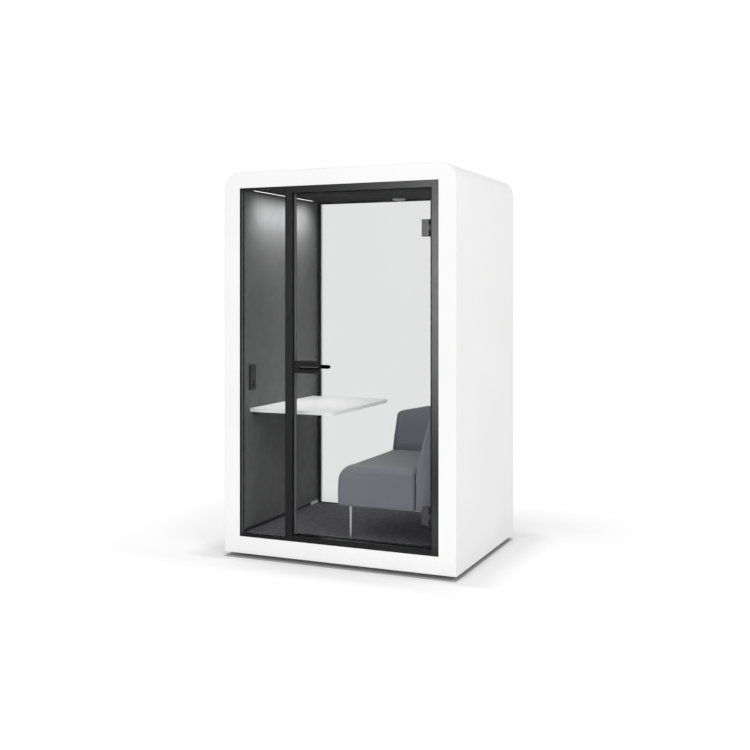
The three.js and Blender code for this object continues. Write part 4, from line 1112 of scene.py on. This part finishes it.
@dataclass
class Door(SubAssembly):
    """The glass leaf with its seals, hinges, lock and levers."""

    coats: tuple[Coat, ...] = (
        Coat(PANE, ("door_glass",)),
        Coat(CLEAR_SEAL, ("door_edge_seal_upper", "door_edge_seal_lower"), edge=0.0006),
        Coat(HINGE_GREY, HINGE_CLAMPS, edge=0.0012),
        Coat(BLACK_HARDWARE, ("hinge_bracket_upper", "hinge_bracket_lower"), edge=0.0008),
        Coat(BLACK_HARDWARE, LOCK_COVERS, edge=0.0025),
        Coat(LEVER_BLACK, ("lever_outer", "lever_inner"), edge=0.003),
        Coat(ZINC, ("lock_body", "lever_spindle"), edge=0.0004),
        Coat(DARK_ZINC, ("latch_bolt",), edge=0.0004),
    )
    screw_radius: float = 0.0055
    screw_height: float = 0.0016
    screw_chamfer: Span = (0.9, 0.0011)
    screw_recess: Span = (0.5, 0.0004)
    screw_inset: Span = (0.021, 0.02)
    screw_sink: float = 0.0007
    screw_sides: int = 24
    rose_radii: tuple[float, float, float] = (0.0086, 0.012, 0.013)
    rose_heights: tuple[float, float, float] = (0.0001, 0.0022, 0.003)
    # Size and place of the lighter strip on each lever, a painted highlight along its upper edge.
    highlight_height: float = 0.0045
    highlight_below: float = 0.0032
    highlight_before_neck: float = 0.003
    highlight_before_end: float = 0.012
    highlight_layer: Span = (0.0001, 0.0005)
    highlight_rounding: float = 0.00015

    def dress(self) -> None:
        """Finishes the door's solids, the leaf's ground edges, and the covers' right ends in the levers'
        darker black as painted shade.
        """
        super().dress()
        repaint("door_glass", PANE_EDGE, is_pane_edge)
        # The covers' right-facing ends take the levers' darker black: painted shade on the side that lies in
        # shadow.
        for cover in LOCK_COVERS:
            repaint(cover, LEVER_BLACK, looks_right)

    def build(self) -> None:
        """Adds the screws of the hinge clamps and the trim of the levers: their roses, and a lighter strip
        along each lever that is a painted highlight.
        """
        across, along = self.screw_inset
        for clamp, end in zip(HINGE_CLAMPS, ("upper", "lower")):
            low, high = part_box(clamp)
            for step, height in enumerate((low.z + along, high.z - along)):
                self._screw(f"hinge_screw_{end}_{step}", (low.x + across, high.y - self.screw_sink, height))
        low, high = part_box("lever_spindle")
        neck = (low + high) / 2.0
        for side, sign in (("outer", -1.0), ("inner", 1.0)):
            self._rose(side, sign, neck)
        for side, sign in (("outer", -1.0), ("inner", 1.0)):
            self._painted_highlight_strip(side, sign, neck)

    def _screw(self, name: str, place: Point) -> None:
        """Adds a flat-headed screw with a round recess.

        Args:
            name: the piece's name.
            place: the middle of its head, on the clamp's inner face.
        """
        radius, top = self.screw_radius, self.screw_height
        rim, shoulder = self.screw_chamfer
        recess, floor = self.screw_recess
        profile = [(0.0, 0.0), (radius, 0.0), (radius, shoulder), (radius * rim, top), (radius * recess, top),
                   (radius * recess, floor), (0.0, floor)]
        add_piece(turned_mesh(name, profile, place, Y_AXIS, self.screw_sides), "door", HINGE_GREY)

    @staticmethod
    def _face(node: str, sign: float) -> float:
        """Gives where a solid's front or back lies on Y.

        Args:
            node: the solid's node.
            sign: -1 for its front, 1 for its back.

        Returns:
            The place on Y.
        """
        low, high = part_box(node)
        return low.y if sign < 0.0 else high.y

    def _rose(self, side: str, sign: float, neck: Vector) -> None:
        """Adds a round collar where a lever's neck meets its cover.

        Args:
            side: outer or inner.
            sign: which way that side looks along Y.
            neck: the middle of the levers' spindle.
        """
        bore, rim, outside = self.rose_radii
        foot, shoulder, top = self.rose_heights
        profile = [(bore, foot), (outside, foot), (outside, shoulder), (rim, top), (bore, top), (bore, foot)]
        place = (neck.x, self._face(f"lock_cover_{side}", sign), neck.z)
        mesh = turned_mesh(f"lever_rose_{side}", profile, place, sign * Y_AXIS)
        add_piece(mesh, "door", BLACK_HARDWARE)

    def _painted_highlight_strip(self, side: str, sign: float, neck: Vector) -> None:
        """Adds a lighter strip on a lever's front, along its upper edge: a painted highlight for the gloss on
        its rounded top.

        Args:
            side: outer or inner.
            sign: which way that side looks along Y.
            neck: the middle of the levers' spindle.
        """
        face = self._face(f"lever_{side}", sign)
        near, far = sorted(face + sign * layer for layer in self.highlight_layer)
        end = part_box(f"lever_{side}")[1]
        top = end.z - self.highlight_below
        low = (neck.x - self.highlight_before_neck, near, top - self.highlight_height)
        mesh = strip_mesh(f"lever_line_{side}", low, (end.x - self.highlight_before_end, far, top))
        piece = add_piece(mesh, "lever", LEVER_HIGHLIGHT_PAINT)
        shade_smooth(piece)
        soften(piece, self.highlight_rounding)


@dataclass
class Cabin(SubAssembly):
    """Linings, floor, ceiling, lamp, sensor and power panel."""

    coats: tuple[Coat, ...] = (
        Coat(WALL_FELT, ("left_felt_panel", "right_felt_panel"), edge=0.001),
        Coat(CEILING_FELT, ("ceiling_panel",), edge=0.0008),
        Coat(CARPET, ("carpet",), edge=0.002),
        Coat(MATT_ANTHRACITE, ("left_skirting", "right_skirting"), edge=0.001),
        Coat(WHITE_LACQUER, ("air_inlet_grille",), edge=0.0006),
        Coat(PLYWOOD, ("floor_board",)),
        Coat(WOOL, ("left_wall_core", "right_wall_core", "roof_core")),
        Coat(LAMP_CHANNEL, ("led_profile",), edge=0.0004),
        Coat(OPAL, ("led_diffuser",)),
        Coat(WHITE_PLASTIC, ("presence_sensor",), edge=0.001),
        Coat(BLACK_PLASTIC, ("led_driver", "fan_frame", "fan_impeller"), edge=0.0006),
        Coat(BLACK_PLASTIC, ("power_bezel", "power_socket", "light_switch"), edge=0.0012),
    )
    wash_power: float = 2.2
    wash_size: Span = (0.02, 0.72)
    wash_offset: Point = (0.15, 0.05, -0.01)
    wash_tilt: float = 48.0
    wash_spread: float = 84.0
    glow_power: float = 0.85
    glow_size: Span = (0.5, 0.8)
    glow_x: float = -0.33
    glow_drop: float = 0.03
    glow_spread: float = 90.0
    edge_power: float = 3.2
    edge_size: Span = (0.2, 0.8)
    edge_from: Span = (0.56, 0.92)
    edge_to: Span = (0.0, 0.86)
    table_power: float = 1.9
    table_size: Span = (0.19, 0.9)
    table_offset: Point = (0.1, -0.1, 0.42)
    contact_apart: float = 0.019
    contact_depth: float = 0.006
    contact_sides: int = 20
    contact_radii: Span = (0.0028, 0.0022)
    contact_heights: tuple[float, float, float] = (0.0001, 0.0006, 0.0008)

    def build(self) -> None:
        """Lights the cabin and adds the socket's contacts."""
        low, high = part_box("led_diffuser")
        strip = Vector(((low.x + high.x) / 2.0, (low.y + high.y) / 2.0, low.z))
        self._strip_lamps(strip)
        self._table_lamps(strip.y)
        self._contacts()

    def _strip_lamps(self, strip: Vector) -> None:
        """Hangs the lamps that stand for the light of the lamp strip.

        Args:
            strip: the middle of the strip's underside.
        """
        place = strip + Vector(self.wash_offset)
        wash = AreaLamp("wall_wash", place[:], under(place), self.wash_size, self.wash_power,
                        self.wash_spread, hidden=DIFFUSE_ONLY).hang()
        wash.rotation_euler = (0.0, math.radians(self.wash_tilt), 0.0)
        place = (self.glow_x, strip.y, strip.z - self.glow_drop)
        AreaLamp("cabin_glow", place, under(place), self.glow_size, self.glow_power, self.glow_spread,
                 hidden=DIFFUSE_ONLY).hang()

    def _table_lamps(self, middle: float) -> None:
        """Hangs the lamps that light the table's edge and its top.

        Args:
            middle: the middle of the cabin on Y.
        """
        top = solids("table_top")
        (from_x, from_z), (to_x, to_z) = self.edge_from, self.edge_to
        AreaLamp("table_edge_light", (from_x, middle, from_z), (to_x, middle, to_z), self.edge_size,
                 self.edge_power, only=top, hidden=DIFFUSE_ONLY).hang()
        low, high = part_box("table_top")
        place = Vector((low.x, (low.y + high.y) / 2.0, high.z)) + Vector(self.table_offset)
        AreaLamp("table_light", place[:], under(place), self.table_size, self.table_power, only=top,
                 hidden=DIFFUSE_ONLY).hang()

    def _contacts(self) -> None:
        """Adds the two round contacts in the socket."""
        low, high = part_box("power_socket")
        middle = (low + high) / 2.0
        wide, narrow = self.contact_radii
        foot, shoulder, top = self.contact_heights
        profile = [(0.0, foot), (wide, foot), (wide, shoulder), (narrow, top), (0.0, top)]
        for index, side in enumerate((-0.5, 0.5)):
            place = (high.x - self.contact_depth, middle.y + side * self.contact_apart, middle.z)
            mesh = turned_mesh(f"socket_contact_{index}", profile, place, X_AXIS, self.contact_sides)
            add_piece(mesh, "root", ZINC)


@dataclass
class Table(SubAssembly):
    """The wall table."""

    coats: tuple[Coat, ...] = (
        Coat(LAMINATE, ("table_top",), edge=0.0012),
        Coat(BLACK_HARDWARE, ("table_bracket",), edge=0.0008),
    )


@dataclass(frozen=True)
class Cushion:
    """One padded block of the sofa.

    Its form is let out by the ease before it is held to its box. Its seam runs in a plane across one axis, at
    an offset from the low side, or from the high side if that is below 0.
    """

    name: str
    ease: float
    seam_axis: int
    seam_offset: float


@dataclass
class Sofa(SubAssembly):
    """The corner sofa: three padded blocks, their seams and the steel underframe."""

    coats: tuple[Coat, ...] = (Coat(SATIN_STEEL, ("sofa_underframe",), edge=0.001),)
    cushions: tuple[Cushion, ...] = (
        Cushion("sofa_seat", ease=0.011, seam_axis=2, seam_offset=-0.036),
        Cushion("sofa_back", ease=0.008, seam_axis=1, seam_offset=0.026),
        Cushion("sofa_wing", ease=0.003, seam_axis=0, seam_offset=0.026),
    )
    voxel: float = 0.008
    swell_limit: float = 0.008
    pressure: float = 4.0
    frames: int = 20
    give: float = 0.0015
    seam_depth: float = 0.003
    seam_reach: float = 0.008
    seam_fade: float = 3.0
    seam_step: float = 0.005
    seam_facing: float = 0.7
    feel_from: float = 0.05
    feel_reach: float = 0.4
    thread: float = 0.0011
    thread_sink: float = 0.8
    light_place: Point = (-0.2, -0.42, 1.75)
    light_target: Point = (0.45, 0.3, 0.6)
    light_size: Span = (0.4, 0.4)
    light_power: float = 4.5

    def build(self) -> None:
        """Makes each padded block from its solid, and lights them."""
        pads = tuple(self._pad(cushion) for cushion in self.cushions)
        AreaLamp("sofa_light", self.light_place, self.light_target, self.light_size, self.light_power,
                 only=pads, hidden=DIFFUSE_ONLY).hang()

    def _pad(self, cushion: Cushion) -> bpy.types.Object:
        """Blows a cushion up inside its cover and lays it in place of its solid.

        Args:
            cushion: what is made.

        Returns:
            The padded piece.
        """
        name = cushion.name
        piece = bpy.data.objects.new(f"{name}_pad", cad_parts[name].data.copy())
        bpy.context.scene.collection.objects.link(piece)
        piece.data.materials.clear()
        low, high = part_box(name)
        middle = (low + high) / 2.0
        for vertex in piece.data.vertices:
            for i in AXES:
                half = (high[i] - low[i]) / 2.0
                vertex.co[i] = middle[i] + (vertex.co[i] - middle[i]) * (half + cushion.ease) / half
        self._remesh(piece)
        self._inflate(piece)
        self._settle(piece, low, high)
        self._seam(piece, cushion)
        smooth = piece.modifiers.new("smooth", "SUBSURF")
        smooth.levels = 1
        smooth.render_levels = 1
        shade_smooth(piece)
        piece.data.materials.append(SHOP.material(UPHOLSTERY))
        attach(piece, "root")
        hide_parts(name)
        LOG.info("made %s", piece.name)
        return piece

    def _remesh(self, piece: bpy.types.Object) -> None:
        """Gives a cushion an even mesh.

        Args:
            piece: the cushion.
        """
        remesh = piece.modifiers.new("even", "REMESH")
        remesh.mode = "VOXEL"
        remesh.voxel_size = self.voxel
        self._apply(piece)

    def _inflate(self, piece: bpy.types.Object) -> None:
        """Runs the cloth under pressure and limits how far it may move.

        Args:
            piece: the cushion.
        """
        rest = [vertex.co.copy() for vertex in piece.data.vertices]
        scene = bpy.context.scene
        cloth = piece.modifiers.new("cloth", "CLOTH")
        cloth.settings.use_pressure = True
        cloth.settings.uniform_pressure_force = self.pressure
        cloth.settings.effector_weights.gravity = 0.0
        cloth.point_cache.frame_start = 1
        cloth.point_cache.frame_end = self.frames
        for step in range(1, self.frames + 1):
            scene.frame_set(step)
        self._apply(piece)
        scene.frame_set(1)
        for vertex, start in zip(piece.data.vertices, rest):
            move = vertex.co - start
            if move.length > self.swell_limit:
                vertex.co = start + move.normalized() * self.swell_limit

    def _settle(self, piece: bpy.types.Object, low: Vector, high: Vector) -> None:
        """Keeps a cushion's underside flat and its faces within its solid's box.

        Args:
            piece: the cushion.
            low: the box's lowest corner.
            high: the box's highest corner.
        """
        give = self.give
        for vertex in piece.data.vertices:
            for i in AXES:
                over = vertex.co[i] - (high[i] - give)
                under_low = (low[i] + give) - vertex.co[i]
                if over > 0.0:
                    vertex.co[i] = high[i] - give * math.exp(-over / give)
                elif under_low > 0.0:
                    vertex.co[i] = low[i] + give * math.exp(-under_low / give)

    def _seam(self, piece: bpy.types.Object, cushion: Cushion) -> None:
        """Sinks a sewn seam into a cushion all round and lays its thread.

        Args:
            piece: the cushion.
            cushion: says where the seam runs.
        """
        end = min if cushion.seam_offset > 0.0 else max
        level = cushion.seam_offset + end(vertex.co[cushion.seam_axis] for vertex in piece.data.vertices)
        path = self._girdle(piece, cushion.seam_axis, level)
        tree = KDTree(len(path))
        for index, spot in enumerate(path):
            tree.insert(spot, index)
        tree.balance()
        normals = [vertex.normal.copy() for vertex in piece.data.vertices]
        for vertex, normal in zip(piece.data.vertices, normals):
            away = tree.find(vertex.co)[2] / self.seam_reach
            if away < self.seam_fade:
                vertex.co -= normal * self.seam_depth * math.exp(-away * away)
        self._lay_thread(f"{piece.name}_seam", path)

    def _lay_thread(self, name: str, path: list[Vector]) -> None:
        """Lays the thread of a seam, a little sunk.

        Args:
            name: the piece's name.
            path: the seam's points in order.
        """
        curve = bpy.data.curves.new(name, "CURVE")
        curve.dimensions = "3D"
        curve.bevel_depth = self.thread
        curve.bevel_resolution = 2
        line = curve.splines.new("POLY")
        line.points.add(len(path) - 1)
        line.use_cyclic_u = True
        middle = sum(path, Vector()) / len(path)
        for point, spot in zip(line.points, path):
            inward = (middle - spot).normalized() * self.seam_depth * self.thread_sink
            point.co = (*(spot + inward), 1.0)
        guide = bpy.data.objects.new(name, curve)
        bpy.context.scene.collection.objects.link(guide)
        graph = bpy.context.evaluated_depsgraph_get()
        mesh = bpy.data.meshes.new_from_object(guide.evaluated_get(graph))
        bpy.data.objects.remove(guide)
        mesh.name = name
        mesh.materials.clear()
        add_piece(mesh, "root", SEAM_THREAD)

    def _girdle(self, piece: bpy.types.Object, axis: int, level: float) -> list[Vector]:
        """Finds the outline of a cushion in a plane, by feeling for it from all four sides.

        Args:
            piece: the cushion.
            axis: the axis that the plane stands across.
            level: where the plane lies on that axis.

        Returns:
            The outline's points in order.
        """
        spots = [vertex.co for vertex in piece.data.vertices]
        tree = BVHTree.FromPolygons(spots, [list(face.vertices) for face in piece.data.polygons])
        low = [min(spot[i] for spot in spots) for i in AXES]
        high = [max(spot[i] for spot in spots) for i in AXES]
        first, second = (i for i in AXES if i != axis)
        sides = [(first, low, high, second, low, 1.0), (second, low, high, first, high, -1.0),
                 (first, high, low, second, high, -1.0), (second, high, low, first, low, 1.0)]
        path: list[Vector] = []
        for along, start, end, across, wall, sign in sides:
            span = end[along] - start[along]
            count = max(2, int(abs(span) / self.seam_step))
            aim = Vector()
            aim[across] = sign
            for index in range(count + 1):
                spot = Vector()
                spot[axis] = level
                spot[along] = start[along] + span * index / count
                spot[across] = wall[across] - sign * self.feel_from
                hit, normal, _, _ = tree.ray_cast(spot, aim, self.feel_reach)
                if hit is not None and abs(normal[across]) > self.seam_facing:
                    path.append(hit)
        return path

    @staticmethod
    def _apply(piece: bpy.types.Object) -> None:
        """Turns a piece's modifiers into its mesh.

        Args:
            piece: the piece.
        """
        graph = bpy.context.evaluated_depsgraph_get()
        mesh = bpy.data.meshes.new_from_object(piece.evaluated_get(graph))
        piece.modifiers.clear()
        piece.data = mesh


def main() -> None:
    """Builds the pod's looks in order."""
    logging.basicConfig(level=logging.INFO, format="%(name)s: %(message)s")
    Studio().build()
    for part in (Shell(), Glazing(), Door(), Cabin(), Table(), Sofa()):
        part.dress()
        part.build()
    bpy.context.view_layer.update()


if __name__ == "__main__":
    main()
